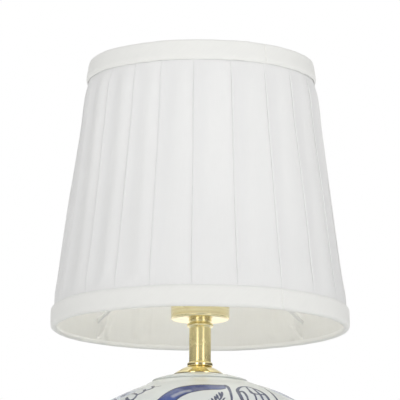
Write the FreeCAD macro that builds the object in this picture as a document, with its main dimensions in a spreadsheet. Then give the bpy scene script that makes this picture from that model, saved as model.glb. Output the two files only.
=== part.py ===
import FreeCAD, Part
import Sketcher
import math
import os
from FreeCAD import Vector, Rotation, Placement

# Ginger jar table lamp. Millimetres, +Z up, origin on the table under the
# centre of the base. -Y is the front. Every size is a cell of the sheet.

doc = FreeCAD.newDocument("GingerJarLamp")
sheet = doc.addObject("Spreadsheet::Sheet", "Sizes")

CELLS = [
    # base
    ("felt_thick", 2.0), ("felt_rad", 70.5),
    ("plinth_high", 22.0), ("plinth_rad", 73.0), ("plinth_band", 12.6),
    ("plinth_waist", 67.6), ("plinth_top_rad", 69.2), ("plinth_recess_rad", 65.0),
    ("plinth_recess_deep", 16.0), ("rod_hole", 5.4),
    ("seat_thick", 1.0), ("seat_out", 64.0), ("seat_in", 57.6),
    # fasteners under the jar
    ("washer_rad", 17.0), ("washer_thick", 1.5), ("spring_rad", 8.6),
    ("spring_thick", 1.8), ("nut_flats", 17.0), ("nut_high", 6.0),
    ("rod_rad", 4.95), ("rod_bore", 3.6), ("rod_foot", 6.8), ("rod_top", 293.0),
    # cord inlet in the back of the base
    ("inlet_level", 9.6), ("inlet_bore", 3.2), ("inlet_body", 4.6),
    ("inlet_flange", 5.5), ("inlet_flange_thick", 1.6), ("inlet_in", 62.5),
    ("inlet_face", 72.5), ("inlet_lip", 6.0),
    # jar
    ("jar_rad", 104.0), ("belly_level", 155.7), ("jar_wall", 5.0),
    ("shoulder_a_r", 99.448), ("shoulder_a_z", 170.316), ("shoulder_a_arc", 25.74),
    ("shoulder_b_r", 81.544), ("shoulder_b_z", 186.748), ("shoulder_b_arc", 54.61),
    ("rim_r", 36.0), ("rim_z", 202.479), ("shoulder_c_arc", 130.55),
    ("inner_a_r", 95.332), ("inner_a_z", 167.477), ("inner_b_r", 79.068),
    ("inner_b_z", 182.404), ("inner_c_r", 35.268), ("inner_c_z", 197.533),
    ("lower_arc", 300.0), ("foot_start_r", 66.5), ("foot_start_z", 10.5),
    ("foot_arc", 11.4), ("foot_r", 65.08), ("foot_z", 5.0),
    ("foot_in", 56.6), ("foot_under", 4.5), ("jar_floor", 11.0),
    ("jar_hole", 6.2), ("inner_low_r", 63.8), ("inner_low_z", 16.0),
    ("mouth_rad", 30.0), ("mouth_high", 203.2),
    # lid
    ("lid_gasket_thick", 0.8), ("lid_gasket_out", 35.4), ("lid_gasket_in", 30.6),
    ("lid_rad", 39.7), ("lid_edge", 1.15), ("lid_high", 5.4), ("lid_land", 22.4),
    ("lid_dome_arc", 95.0), ("lid_flange_out", 29.3), ("lid_flange_in", 25.8),
    ("lid_flange_deep", 8.0), ("lid_hole", 6.4),
    # brass neck
    ("cap_gasket_thick", 0.4), ("cap_gasket_rad", 20.2),
    ("cap_rad", 21.2), ("cap_high", 6.6), ("cap_top", 10.9), ("cap_arc", 42.0),
    ("cap_sheet", 0.8), ("cap_hole", 6.4), ("cap_shift", -1.0),
    ("low_ring_rad", 10.6), ("low_ring_high", 4.4),
    ("tube_rad", 9.1), ("tube_bore", 8.1), ("tube_long", 28.7),
    ("high_ring_rad", 11.1), ("high_ring_high", 4.3), ("collar_rad", 9.55),
    ("collar_high", 2.6),
    # lampholder
    ("cup_rad", 24.4), ("cup_high", 46.6), ("cup_sheet", 0.9), ("cup_corner", 1.8),
    ("nipple_flats", 19.0), ("nipple_high", 5.7),
    ("holder_rad", 21.5), ("holder_low", 40.0), ("holder_flange_rad", 24.2),
    ("holder_flange", 3.0), ("holder_collar", 19.5), ("holder_high", 58.0),
    ("holder_cavity", 17.2), ("holder_mouth", 15.4),
    ("core_rad", 16.9), ("core_base", 8.0), ("core_high", 18.0),
    ("shell_rad", 13.9), ("shell_bore", 13.5), ("shell_foot", 6.0), ("shell_high", 23.6),
    ("terminal_off", 9.5), ("terminal_head", 2.8), ("terminal_shank", 1.6),
    ("terminal_head_high", 2.2), ("terminal_long", 11.0), ("terminal_slot", 0.8),
    # rings that hold the shade
    ("ring_bore", 19.58), ("seat_ring_rad", 25.4), ("seat_ring_high", 3.0),
    ("fitter_bore", 20.0), ("fitter_rad", 31.5), ("fitter_thick", 1.6),
    ("lock_rad", 25.2), ("lock_high", 5.0), ("ring_gap", 0.3), ("lock_notch", 1.9),
    # shade frame
    ("shade_low", 273.7), ("shade_high", 226.3),
    ("low_wire_rad", 121.75), ("low_wire_level", 2.9), ("wire_rad", 1.2),
    ("high_wire_rad", 91.5), ("high_wire_level", 223.4),
    ("rib_first", -3.8), ("arm_wire", 1.6), ("arm_az", 42.0), ("arm_start_r", 117.5), ("arm_start_z", 18.9),
    ("arm_bend_arc", 26.0), ("arm_leg_r", 121.12), ("arm_leg_z", 4.2), ("arm_leg_arc", 5.0),
    # shade fabrics: solids a little thicker than the fabric
    ("cover_thick", 0.8), ("lining_thick", 0.45),
    ("trim_low_out", 125.0), ("trim_low_edge", 124.1), ("trim_high_out", 94.6),
    ("trim_high_edge", 96.9), ("band_high", 17.3), ("trim_leg", 0.85),
    ("fold_high", 6.5),
    # bulb
    ("bulb_foot", 318.05), ("bulb_rad", 30.0), ("bulb_long", 108.0), ("bulb_glass_thick", 0.8),
    ("bulb_neck", 12.5), ("bulb_cap_rad", 13.15), ("bulb_cap_sheet", 0.35),
    ("bulb_cap_foot", 10.2), ("bulb_button", 4.6), ("bulb_cap_top", 26.0),
]
VALUE = dict(CELLS)
for row, (alias, number) in enumerate(CELLS, 1):
    sheet.set("A%d" % row, alias.replace("_", " "))
    sheet.set("B%d" % row, "%g" % number)
    sheet.setAlias("B%d" % row, alias)
doc.recompute()


class Q:
    """A length with the sheet expression that gives it."""

    def __init__(self, value, text=None):
        self.v = float(value)
        self.t = text

    def expr(self):
        return self.t if self.t is not None else "%.6f" % self.v

    def _join(self, other, sign):
        o = as_q(other)
        value = {"+": self.v + o.v, "-": self.v - o.v, "*": self.v * o.v, "/": self.v / o.v if o.v else 0.0}[sign]
        if self.t is None and o.t is None:
            return Q(value)
        return Q(value, "(%s %s %s)" % (self.expr(), sign, o.expr()))

    def __add__(self, o):
        return self._join(o, "+")

    def __sub__(self, o):
        return self._join(o, "-")

    def __mul__(self, o):
        return self._join(o, "*")

    def __truediv__(self, o):
        return self._join(o, "/")

    def __radd__(self, o):
        return as_q(o) + self

    def __rsub__(self, o):
        return as_q(o) - self

    def __rmul__(self, o):
        return as_q(o) * self


def as_q(x):
    return x if isinstance(x, Q) else Q(x)


def C(alias):
    return Q(VALUE[alias], "Sizes." + alias)


NODES = []


def node(obj, label):
    obj.Label = label
    NODES.append((label, obj))
    return obj


def bind(obj, prop, q):
    q = as_q(q)
    if q.t is None:
        parts = prop.split(".")
        if len(parts) == 1:
            setattr(obj, prop, q.v)
            return
    obj.setExpression(prop, q.expr())


def origin_item(body, role):
    for item in body.Origin.OriginFeatures:
        if item.Role == role:
            return item


def new_body(label, level=None):
    body = doc.addObject("PartDesign::Body", label + "_body")
    node(body, label)
    if level is not None:
        bind(body, "Placement.Base.z", level)
    return body


def sketch_on(body, name, role="XZ_Plane"):
    sk = body.newObject("Sketcher::SketchObject", name)
    sk.AttachmentSupport = [(origin_item(body, role), "")]
    sk.MapMode = "FlatFace"
    return sk


def datum(sk, index, q):
    q = as_q(q)
    if q.t is not None:
        sk.setExpression("Constraints[%d]" % index, q.expr())


def place_point(sk, geo, pos, x, y):
    x, y = as_q(x), as_q(y)
    if x.t is None and abs(x.v) < 1e-9:
        sk.addConstraint(Sketcher.Constraint("PointOnObject", geo, pos, -2))
    else:
        i = sk.addConstraint(Sketcher.Constraint("DistanceX", -1, 1, geo, pos, x.v))
        datum(sk, i, x)
    if y.t is None and abs(y.v) < 1e-9:
        sk.addConstraint(Sketcher.Constraint("PointOnObject", geo, pos, -1))
    else:
        i = sk.addConstraint(Sketcher.Constraint("DistanceY", -1, 1, geo, pos, y.v))
        datum(sk, i, y)


def outline(sk, verts, closed=True):
    """verts: (x, y) or (x, y, radius, side): the edge to the next vertex is a
    line, or an arc whose centre lies left (side 1) or right (side -1)."""
    n = len(verts)
    last = n if closed else n - 1
    ends = []
    for i in range(last):
        a, b = verts[i], verts[(i + 1) % n]
        p = (as_q(a[0]).v, as_q(a[1]).v)
        q = (as_q(b[0]).v, as_q(b[1]).v)
        if len(a) == 2:
            g = sk.addGeometry(Part.LineSegment(Vector(p[0], p[1], 0), Vector(q[0], q[1], 0)), False)
            ends.append((g, 1, 2))
        else:
            rad, side = as_q(a[2]), a[3]
            dx, dy = q[0] - p[0], q[1] - p[1]
            chord = math.hypot(dx, dy)
            off = math.sqrt(max(rad.v ** 2 - chord ** 2 / 4.0, 0.0)) * side
            cx = (p[0] + q[0]) / 2.0 - dy / chord * off
            cy = (p[1] + q[1]) / 2.0 + dx / chord * off
            ang_p = math.atan2(p[1] - cy, p[0] - cx)
            ang_q = math.atan2(q[1] - cy, q[0] - cx)
            circle = Part.Circle(Vector(cx, cy, 0), Vector(0, 0, 1), rad.v)
            if side > 0:
                g = sk.addGeometry(Part.ArcOfCircle(circle, ang_p, ang_q), False)
                ends.append((g, 1, 2))
            else:
                g = sk.addGeometry(Part.ArcOfCircle(circle, ang_q, ang_p), False)
                ends.append((g, 2, 1))
    for i in range(last if closed else last - 1):
        g, _, end = ends[i]
        h, start, _ = ends[(i + 1) % len(ends)]
        sk.addConstraint(Sketcher.Constraint("Coincident", g, end, h, start))
    for i in range(last):
        g, start, end = ends[i]
        place_point(sk, g, start, verts[i][0], verts[i][1])
        if len(verts[i]) > 4:
            # a ball's arc: its centre lies on the axis of the lathe
            sk.addConstraint(Sketcher.Constraint("PointOnObject", g, 3, -2))
        elif len(verts[i]) > 2:
            k = sk.addConstraint(Sketcher.Constraint("Radius", g, as_q(verts[i][2]).v))
            datum(sk, k, verts[i][2])
    if not closed:
        g, _, end = ends[-1]
        place_point(sk, g, end, verts[-1][0], verts[-1][1])
    return ends


def round_hole(sk, x, y, rad):
    x, y, rad = as_q(x), as_q(y), as_q(rad)
    g = sk.addGeometry(Part.Circle(Vector(x.v, y.v, 0), Vector(0, 0, 1), rad.v), False)
    if x.t is None and abs(x.v) < 1e-9 and y.t is None and abs(y.v) < 1e-9:
        sk.addConstraint(Sketcher.Constraint("Coincident", g, 3, -1, 1))
    else:
        place_point(sk, g, 3, x, y)
    k = sk.addConstraint(Sketcher.Constraint("Radius", g, rad.v))
    datum(sk, k, rad)
    return g


def turned(body, sk):
    rev = body.newObject("PartDesign::Revolution", sk.Name + "_turned")
    rev.Profile = sk
    rev.ReferenceAxis = (sk, ["V_Axis"])
    rev.Angle = 360.0
    return rev


def lathe(label, verts, level=None):
    body = new_body(label, level)
    sk = sketch_on(body, label + "_profile")
    outline(sk, verts)
    turned(body, sk)
    return body


def wire_ring(label, rad, level, thick):
    body = new_body(label, level)
    sk = sketch_on(body, label + "_profile")
    round_hole(sk, rad, 0, thick)
    turned(body, sk)
    return body


# ---------------------------------------------------------------- levels
z_plinth = C("felt_thick")
z_seat = z_plinth + C("plinth_high")
z_jar = z_seat + C("seat_thick")
z_lid_gasket = z_jar + C("mouth_high")
z_lid = z_lid_gasket + C("lid_gasket_thick")
z_cap_gasket = z_lid + C("lid_high")
z_cap = z_cap_gasket + C("cap_gasket_thick")
z_low_ring = z_cap + C("cap_high")
z_tube = z_low_ring + C("low_ring_high")
z_high_ring = z_tube + C("tube_long")
z_cup = z_high_ring + C("high_ring_high") + C("collar_high")
z_nipple = z_cup + C("cup_sheet")
z_holder = z_nipple + C("nipple_high")
z_flange = z_holder + C("holder_low")
z_seat_ring = z_flange + C("holder_flange") + 0.3
z_fitter = z_seat_ring + C("seat_ring_high") + C("ring_gap")
z_lock = z_fitter + C("fitter_thick") + C("ring_gap")

# ---------------------------------------------------------------- base
pad = new_body("base_felt_pad")
sk = sketch_on(pad, "felt_outline", "XY_Plane")
round_hole(sk, 0, 0, C("felt_rad"))
feature = pad.newObject("PartDesign::Pad", "felt_sheet")
feature.Profile = sk
bind(feature, "Length", C("felt_thick"))

plinth = new_body("base_plinth", z_plinth)
sk = sketch_on(plinth, "plinth_profile")
ph, pr = C("plinth_high"), C("plinth_rad")
outline(sk, [
    (C("rod_hole"), C("plinth_recess_deep")),
    (C("plinth_recess_rad") - 3.0, C("plinth_recess_deep"), 3.0, -1),
    (C("plinth_recess_rad"), C("plinth_recess_deep") - 3.0),
    (C("plinth_recess_rad"), 0),
    (pr - 1.0, 0, 1.0, 1),
    (pr, 1.0),
    (pr, C("plinth_band"), 2.4, 1),
    (pr - 2.4, C("plinth_band") + 2.4, 3.1, -1),
    (C("plinth_waist"), ph - 4.2),
    (C("plinth_top_rad"), ph - 3.2),
    (C("plinth_top_rad"), ph - 0.8, 0.8, 1),
    (C("plinth_top_rad") - 0.8, ph),
    (C("rod_hole"), ph),
])
turned(plinth, sk)
doc.recompute()
solid_before = plinth.Shape.Volume
sk = sketch_on(plinth, "inlet_outline")
round_hole(sk, 0, C("inlet_level") - C("felt_thick"), C("inlet_body") + 0.05)
hole = plinth.newObject("PartDesign::Pocket", "inlet_hole")
hole.Profile = sk
bind(hole, "Length", pr + 5.0)
doc.recompute()
across = plinth.Shape.cut(Part.makeBox(400, 200, 60, Vector(-200, 0, -5))).Volume
if abs(across * 2 - solid_before) > 1.0 or abs(plinth.Shape.Volume - solid_before) < 1.0:
    hole.Reversed = True
    doc.recompute()
sk = sketch_on(plinth, "spot_outline")
round_hole(sk, 0, C("inlet_level") - C("felt_thick"), C("inlet_lip"))
sk.AttachmentOffset = Placement(Vector(0, 0, -VALUE["inlet_face"]), Rotation())
sk.setExpression("AttachmentOffset.Base.z", "-Sizes.inlet_face")
spot = plinth.newObject("PartDesign::Pocket", "inlet_spot")
spot.Profile = sk
spot.Length = 4.0
spot.Reversed = hole.Reversed
doc.recompute()

grommet = lathe("cord_grommet", [
    (C("inlet_bore"), 0), (C("inlet_body"), 0),
    (C("inlet_body"), C("inlet_face") - C("inlet_in")),
    (C("inlet_flange"), C("inlet_face") - C("inlet_in")),
    (C("inlet_flange"), C("inlet_face") - C("inlet_in") + C("inlet_flange_thick") - 0.6, 0.6, 1),
    (C("inlet_flange") - 0.6, C("inlet_face") - C("inlet_in") + C("inlet_flange_thick")),
    (C("inlet_bore"), C("inlet_face") - C("inlet_in") + C("inlet_flange_thick")),
])
grommet.Placement = Placement(Vector(0, VALUE["inlet_in"], VALUE["inlet_level"]), Rotation(Vector(1, 0, 0), -90))
grommet.setExpression("Placement.Base.y", "Sizes.inlet_in")
grommet.setExpression("Placement.Base.z", "Sizes.inlet_level")

lathe("base_seat_gasket", [
    (C("seat_in"), 0), (C("seat_out"), 0), (C("seat_out"), C("seat_thick")), (C("seat_in"), C("seat_thick")),
], z_seat)

# ---------------------------------------------------------------- rod and the fasteners at its foot
z_washer = z_plinth + C("plinth_recess_deep") - C("washer_thick")
z_spring = z_washer - C("spring_thick")
z_nut = z_spring - C("nut_high")
lathe("bottom_washer", [
    (C("rod_hole"), 0), (C("washer_rad"), 0), (C("washer_rad"), C("washer_thick")), (C("rod_hole"), C("washer_thick")),
], z_washer)

spring_washer = new_body("lock_washer", z_spring)
sk = sketch_on(spring_washer, "spring_profile")
outline(sk, [(C("rod_hole"), 0), (C("spring_rad"), 0), (C("spring_rad"), C("spring_thick")), (C("rod_hole"), C("spring_thick"))])
rev = turned(spring_washer, sk)
rev.Angle = 350.0


def hex_nut(label, flats, high, level):
    blank = doc.addObject("Part::Prism", label + "_blank")
    blank.Polygon = 6
    bind(blank, "Circumradius", flats / 1.7320508)
    bind(blank, "Height", high)
    bore = doc.addObject("Part::Cylinder", label + "_bore")
    bind(bore, "Radius", C("rod_rad") + 0.05)
    bind(bore, "Height", high)
    bound = doc.addObject("Part::Cone", label + "_bevel")
    bind(bound, "Radius1", flats / 2.0 * 1.02)
    bind(bound, "Radius2", flats / 2.0 * 1.02 + high * 1.7)
    bind(bound, "Height", high)
    trimmed = doc.addObject("Part::Common", label + "_trimmed")
    trimmed.Base = blank
    trimmed.Tool = bound
    nut = doc.addObject("Part::Cut", label + "_nut")
    nut.Base = trimmed
    nut.Tool = bore
    node(nut, label)
    bind(nut, "Placement.Base.z", level)
    return nut


hex_nut("bottom_nut", C("nut_flats"), C("nut_high"), z_nut)

lathe("threaded_rod", [
    (C("rod_bore"), 0), (C("rod_rad") - 0.5, 0), (C("rod_rad"), 0.5),
    (C("rod_rad"), C("rod_top") - C("rod_foot") - 0.5), (C("rod_rad") - 0.5, C("rod_top") - C("rod_foot")),
    (C("rod_bore"), C("rod_top") - C("rod_foot")),
], C("rod_foot"))

# ---------------------------------------------------------------- jar: outer wall of four arcs, inner wall beside it
w = C("jar_wall")
lathe("jar_body", [
    (C("jar_hole"), C("foot_under")),
    (C("foot_in") - 2.0, C("foot_under"), 2.0, -1),
    (C("foot_in"), C("foot_under") - 2.0),
    (C("foot_in"), 0.8, 0.8, 1),
    (C("foot_in") + 0.8, 0),
    (C("foot_r") - 0.9, 0, 0.9, 1),
    (C("foot_r"), 0.9),
    (C("foot_r"), C("foot_z"), C("foot_arc"), -1),
    (C("foot_start_r"), C("foot_start_z"), C("lower_arc"), 1),
    (C("jar_rad"), C("belly_level"), C("shoulder_a_arc"), 1),
    (C("shoulder_a_r"), C("shoulder_a_z"), C("shoulder_b_arc"), 1),
    (C("shoulder_b_r"), C("shoulder_b_z"), C("shoulder_c_arc"), 1),
    (C("rim_r"), C("rim_z")),
    (C("rim_r"), C("mouth_high")),
    (C("mouth_rad"), C("mouth_high")),
    (C("mouth_rad"), C("mouth_high") - w + 1.0, 3.0, 1),
    (C("inner_c_r"), C("inner_c_z"), C("shoulder_c_arc") - w, -1),
    (C("inner_b_r"), C("inner_b_z"), C("shoulder_b_arc") - w, -1),
    (C("inner_a_r"), C("inner_a_z"), C("shoulder_a_arc") - w, -1),
    (C("jar_rad") - w, C("belly_level"), C("lower_arc") - w, -1),
    (C("inner_low_r"), C("inner_low_z"), 6.5, -1),
    (C("inner_low_r") - 5.8, C("jar_floor")),
    (C("jar_hole"), C("jar_floor")),
], z_jar)

lathe("lid_gasket", [
    (C("lid_gasket_in"), 0), (C("lid_gasket_out"), 0),
    (C("lid_gasket_out"), C("lid_gasket_thick")), (C("lid_gasket_in"), C("lid_gasket_thick")),
], z_lid_gasket)

lathe("jar_lid", [
    (C("lid_hole"), 1.2), (C("lid_flange_in") - 2.0, 0.8), (C("lid_flange_in"), -1.2),
    (C("lid_flange_in"), 0 - C("lid_flange_deep")), (C("lid_flange_out"), 0 - C("lid_flange_deep")),
    (C("lid_flange_out"), 0), (C("lid_gasket_out") + 0.6, 0),
    (C("lid_rad") - 0.6, -0.7, 0.6, 1),
    (C("lid_rad"), -0.1), (C("lid_rad"), C("lid_edge") - 0.6, 0.6, 1),
    (C("lid_rad") - 0.5, C("lid_edge") - 0.1, C("lid_dome_arc"), 1),
    (C("lid_land"), C("lid_high")),
    (C("lid_hole"), C("lid_high")),
], z_lid)

# ---------------------------------------------------------------- brass neck
lathe("cap_gasket", [
    (C("cap_hole"), 0), (C("cap_gasket_rad"), 0),
    (C("cap_gasket_rad"), C("cap_gasket_thick")), (C("cap_hole"), C("cap_gasket_thick")),
], z_cap_gasket)

ch, cs = C("cap_high"), C("cap_sheet")
vase_cap = lathe("vase_cap", [
    (C("cap_rad"), 0), (C("cap_rad"), 0.5, C("cap_arc"), 1),
    (C("cap_top"), ch), (C("cap_hole"), ch), (C("cap_hole"), ch - cs),
    (C("cap_top") - 0.4, ch - cs, C("cap_arc") - cs, -1),
    (C("cap_rad") - 1.1, 0),
], z_cap)
bind(vase_cap, "Placement.Base.x", C("cap_shift"))

rh = C("low_ring_high")
lathe("neck_lower_ring", [
    (C("rod_hole"), 0), (C("low_ring_rad") - 1.7, 0),
    (C("low_ring_rad") - 1.2, 0.3, 1.3, 1), (C("low_ring_rad"), 1.5),
    (C("low_ring_rad"), rh - 1.6, 1.3, 1), (C("low_ring_rad") - 1.1, rh - 0.4),
    (C("tube_rad"), rh), (C("rod_hole"), rh),
], z_low_ring)

lathe("neck_tube", [
    (C("tube_bore"), 0), (C("tube_rad"), 0), (C("tube_rad"), C("tube_long")), (C("tube_bore"), C("tube_long")),
], z_tube)

uh = C("high_ring_high")
lathe("neck_upper_ring", [
    (C("rod_hole"), 0), (C("tube_rad"), 0),
    (C("high_ring_rad") - 1.5, 0.5, 1.9, 1), (C("high_ring_rad"), uh / 2.0, 1.9, 1),
    (C("high_ring_rad") - 1.5, uh - 0.5), (C("collar_rad") - 0.5, uh),
    (C("collar_rad"), uh + 0.7), (C("collar_rad"), uh + C("collar_high")),
    (C("rod_hole"), uh + C("collar_high")),
], z_high_ring)

# ---------------------------------------------------------------- holder cup and lampholder
cr, cp, ct = C("cup_rad"), C("cup_corner"), C("cup_sheet")
lathe("holder_cup", [
    (C("rod_hole"), 0), (cr - cp, 0, cp, 1), (cr, cp), (cr, C("cup_high")),
    (cr - ct, C("cup_high")), (cr - ct, cp, cp - ct, -1), (cr - cp, ct), (C("rod_hole"), ct),
], z_cup)

hex_nut("holder_nipple_nut", C("nipple_flats"), C("nipple_high"), z_nipple)

hl = C("holder_low")
lathe("holder_body", [
    (C("rod_rad") + 0.05, 0), (C("holder_rad") - 4.0, 0, 4.0, 1), (C("holder_rad"), 4.0), (C("holder_rad"), hl),
    (C("holder_flange_rad"), hl), (C("holder_flange_rad"), hl + C("holder_flange")),
    (C("holder_collar"), hl + C("holder_flange")), (C("holder_collar"), C("holder_high") - 0.8, 0.8, 1),
    (C("holder_collar") - 0.8, C("holder_high")), (C("holder_mouth"), C("holder_high")),
    (C("holder_mouth"), C("holder_high") - 2.0), (C("holder_cavity"), C("holder_high") - 3.5),
    (C("holder_cavity"), 5.0), (C("holder_cavity") - 2.0, 3.2), (C("rod_rad") + 0.05, 3.2),
], z_holder)

core = new_body("holder_core", z_holder + C("core_base"))
sk = sketch_on(core, "core_profile")
outline(sk, [
    (3.2, 0), (C("core_rad"), 0), (C("core_rad"), C("core_high")), (9.5, C("core_high")),
    (9.5, C("core_high") - 3.4), (3.2, C("core_high") - 3.4),
])
turned(core, sk)
doc.recompute()
core_before = core.Shape.Volume
sk = sketch_on(core, "terminal_outline", "XY_Plane")
round_hole(sk, C("terminal_off") + 2.0, 0, C("terminal_shank") + 0.1)
round_hole(sk, 0 - C("terminal_off") - 2.0, 0, C("terminal_shank") + 0.1)
bores = core.newObject("PartDesign::Pocket", "terminal_bores")
bores.Profile = sk
bind(bores, "Length", C("terminal_long") + 0.5)
doc.recompute()
if abs(core.Shape.Volume - core_before) < 1.0:
    bores.Reversed = True
    doc.recompute()


def terminal(tag, side):
    head = doc.addObject("Part::Cylinder", "terminal_head_" + tag)
    bind(head, "Radius", C("terminal_head"))
    bind(head, "Height", C("terminal_head_high"))
    shank = doc.addObject("Part::Cylinder", "terminal_shank_" + tag)
    bind(shank, "Radius", C("terminal_shank"))
    bind(shank, "Height", C("terminal_long"))
    bind(shank, "Placement.Base.z", C("terminal_head_high"))
    slot = doc.addObject("Part::Box", "terminal_slot_" + tag)
    bind(slot, "Length", C("terminal_head") * 2.4)
    bind(slot, "Width", C("terminal_slot"))
    slot.Height = 1.0
    bind(slot, "Placement.Base.x", 0 - C("terminal_head") * 1.2)
    bind(slot, "Placement.Base.y", 0 - C("terminal_slot") / 2.0)
    joined = doc.addObject("Part::Fuse", "terminal_joined_" + tag)
    joined.Base = head
    joined.Tool = shank
    cut = doc.addObject("Part::Cut", "terminal_" + tag)
    cut.Base = joined
    cut.Tool = slot
    bind(cut, "Placement.Base.x", (C("terminal_off") + 2.0) * side)
    return cut


screws = doc.addObject("Part::Compound", "terminal_pair")
screws.Links = [terminal("left", -1), terminal("right", 1)]
node(screws, "terminal_screws")
bind(screws, "Placement.Base.z", z_holder + C("core_base") - C("terminal_head_high"))

z_core_top = z_holder + C("core_base") + C("core_high")
lathe("screw_shell", [
    (C("shell_foot") + 4.6, 0), (C("shell_rad"), 0), (C("shell_rad"), C("shell_high")),
    (C("shell_bore"), C("shell_high")), (C("shell_bore"), 0.4), (C("shell_foot") + 4.6, 0.4),
], z_core_top)

# sprung tongue under the bulb: a bent strip, hinged at its foot
tongue = new_body("centre_contact", z_core_top)
sk = sketch_on(tongue, "tongue_outline")
outline(sk, [
    (-8.6, -3.3), (-8.1, -3.3), (-8.1, -0.6), (-7.6, -0.2), (-0.4, 3.45), (1.4, 3.6), (3.2, 3.1), (3.4, 3.55), (1.5, 4.0),
    (-0.6, 3.88), (-7.9, 0.22), (-8.6, -0.4),
])
strip = tongue.newObject("PartDesign::Pad", "tongue_strip")
strip.Profile = sk
strip.Length = 5.0
strip.Midplane = True

# ---------------------------------------------------------------- rings that clamp the shade
lathe("shade_seat_ring", [
    (C("ring_bore"), 0), (C("seat_ring_rad") - 0.5, 0), (C("seat_ring_rad"), 0.5),
    (C("seat_ring_rad"), C("seat_ring_high") - 0.5), (C("seat_ring_rad") - 0.5, C("seat_ring_high")),
    (C("ring_bore"), C("seat_ring_high")),
], z_seat_ring)

lathe("shade_fitter_ring", [
    (C("fitter_bore"), 0), (C("fitter_rad"), 0), (C("fitter_rad"), C("fitter_thick")), (C("fitter_bore"), C("fitter_thick")),
], z_fitter)

lock = new_body("shade_lock_ring", z_lock)
sk = sketch_on(lock, "lock_profile")
lr, lh = C("lock_rad"), C("lock_high")
outline(sk, [
    (C("ring_bore"), 0), (lr - 0.5, 0), (lr, 0.5), (lr, lh - 0.9, 0.9, 1), (lr - 0.9, lh), (C("ring_bore"), lh),
])
turned(lock, sk)
doc.recompute()
lock_before = lock.Shape.Volume
sk = sketch_on(lock, "lock_notch_outline", "XY_Plane")
round_hole(sk, lr + 0.7, 0, C("lock_notch"))
notch = lock.newObject("PartDesign::Pocket", "lock_notch_cut")
notch.Profile = sk
notch.Type = 1
doc.recompute()
if abs(lock.Shape.Volume - lock_before) < 0.5:
    notch.Reversed = True
    doc.recompute()
around = lock.newObject("PartDesign::PolarPattern", "lock_notches")
around.Originals = [notch]
around.Axis = (origin_item(lock, "Z_Axis"), [""])
around.Angle = 360.0
around.Occurrences = 12
lock.Tip = around
doc.recompute()

# ---------------------------------------------------------------- shade frame
z_shade = C("shade_low")
wire_ring("shade_bottom_ring", C("low_wire_rad"), z_shade + C("low_wire_level"), C("wire_rad"))
wire_ring("shade_top_ring", C("high_wire_rad"), z_shade + C("high_wire_level"), C("wire_rad"))

RIBS = [VALUE["rib_first"] + 60.0 * k for k in range(6)]
drop = VALUE["low_wire_rad"] - VALUE["high_wire_rad"]
rise = VALUE["high_wire_level"] - VALUE["low_wire_level"]
lean = math.degrees(math.atan2(drop, rise))
slant = math.hypot(drop, rise)
rib_gap = VALUE["wire_rad"] * 1.02
rib_bars = []
for k, az in enumerate(RIBS):
    bar = doc.addObject("Part::Cylinder", "rib_%d" % k)
    bind(bar, "Radius", C("wire_rad") * 0.9)
    bar.Height = slant - 2 * rib_gap
    a = math.radians(az)
    along = Vector(-math.sin(math.radians(lean)) * math.cos(a), -math.sin(math.radians(lean)) * math.sin(a), math.cos(math.radians(lean)))
    foot = Vector(VALUE["low_wire_rad"] * math.cos(a), VALUE["low_wire_rad"] * math.sin(a), VALUE["low_wire_level"])
    bar.Placement = Placement(foot + along * rib_gap, Rotation(Vector(0, 0, 1), along))
    rib_bars.append(bar)
ribs = doc.addObject("Part::Compound", "rib_set")
ribs.Links = rib_bars
node(ribs, "shade_ribs")
bind(ribs, "Placement.Base.z", z_shade)

# arms: a short leg up from the bottom wire, a bend through the lining, then a
# straight run up to the top of the fitter ring
arm_end_r = VALUE["fitter_rad"] - 3.0
wire_z = z_fitter.v + VALUE["fitter_thick"] + VALUE["arm_wire"] - VALUE["shade_low"]
p0 = (VALUE["arm_start_r"], VALUE["arm_start_z"])
# straight run at the slope that meets a level run over the fitter ring, with an arc between
rad = VALUE["arm_bend_arc"]


def bend_point(slope):
    # arc tangent to the sloped run and to the level run at wire_z
    t = rad * math.tan(slope / 2.0)
    corner = p0[0] - (wire_z - p0[1]) / math.tan(slope)
    return corner, t


slope = math.radians(28.0)
for _ in range(60):
    corner, t = bend_point(slope)
    error = corner - (arm_end_r + 3.0 + t)
    if abs(error) < 1e-6:
        break
    slope += (-error) * 0.0015
corner, t = bend_point(slope)
p1 = (corner + t * math.cos(slope), wire_z - t * math.sin(slope))
p2 = (corner - t, wire_z)
p3 = (arm_end_r, wire_z)
# leg: leans in with the cone, and meets the sloped run at a corner rounded off
leg_lean = drop / rise
leg_z = (VALUE["arm_start_z"] + (VALUE["arm_start_r"] - VALUE["arm_leg_r"] - leg_lean * VALUE["arm_leg_z"]) * math.tan(slope)) / (1.0 - leg_lean * math.tan(slope))
leg_corner = (VALUE["arm_leg_r"] - leg_lean * (leg_z - VALUE["arm_leg_z"]), leg_z)
leg_long = math.hypot(leg_lean, 1.0)
leg_way = (-leg_lean / leg_long, 1.0 / leg_long)
turn = math.atan2(leg_way[1], -leg_way[0]) - slope
leg_t = VALUE["arm_leg_arc"] * math.tan(turn / 2.0)
m0 = (VALUE["arm_leg_r"], VALUE["arm_leg_z"])
m1 = (leg_corner[0] - leg_way[0] * leg_t, leg_corner[1] - leg_way[1] * leg_t)
m2 = (leg_corner[0] - math.cos(slope) * leg_t, leg_corner[1] + math.sin(slope) * leg_t)
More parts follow.
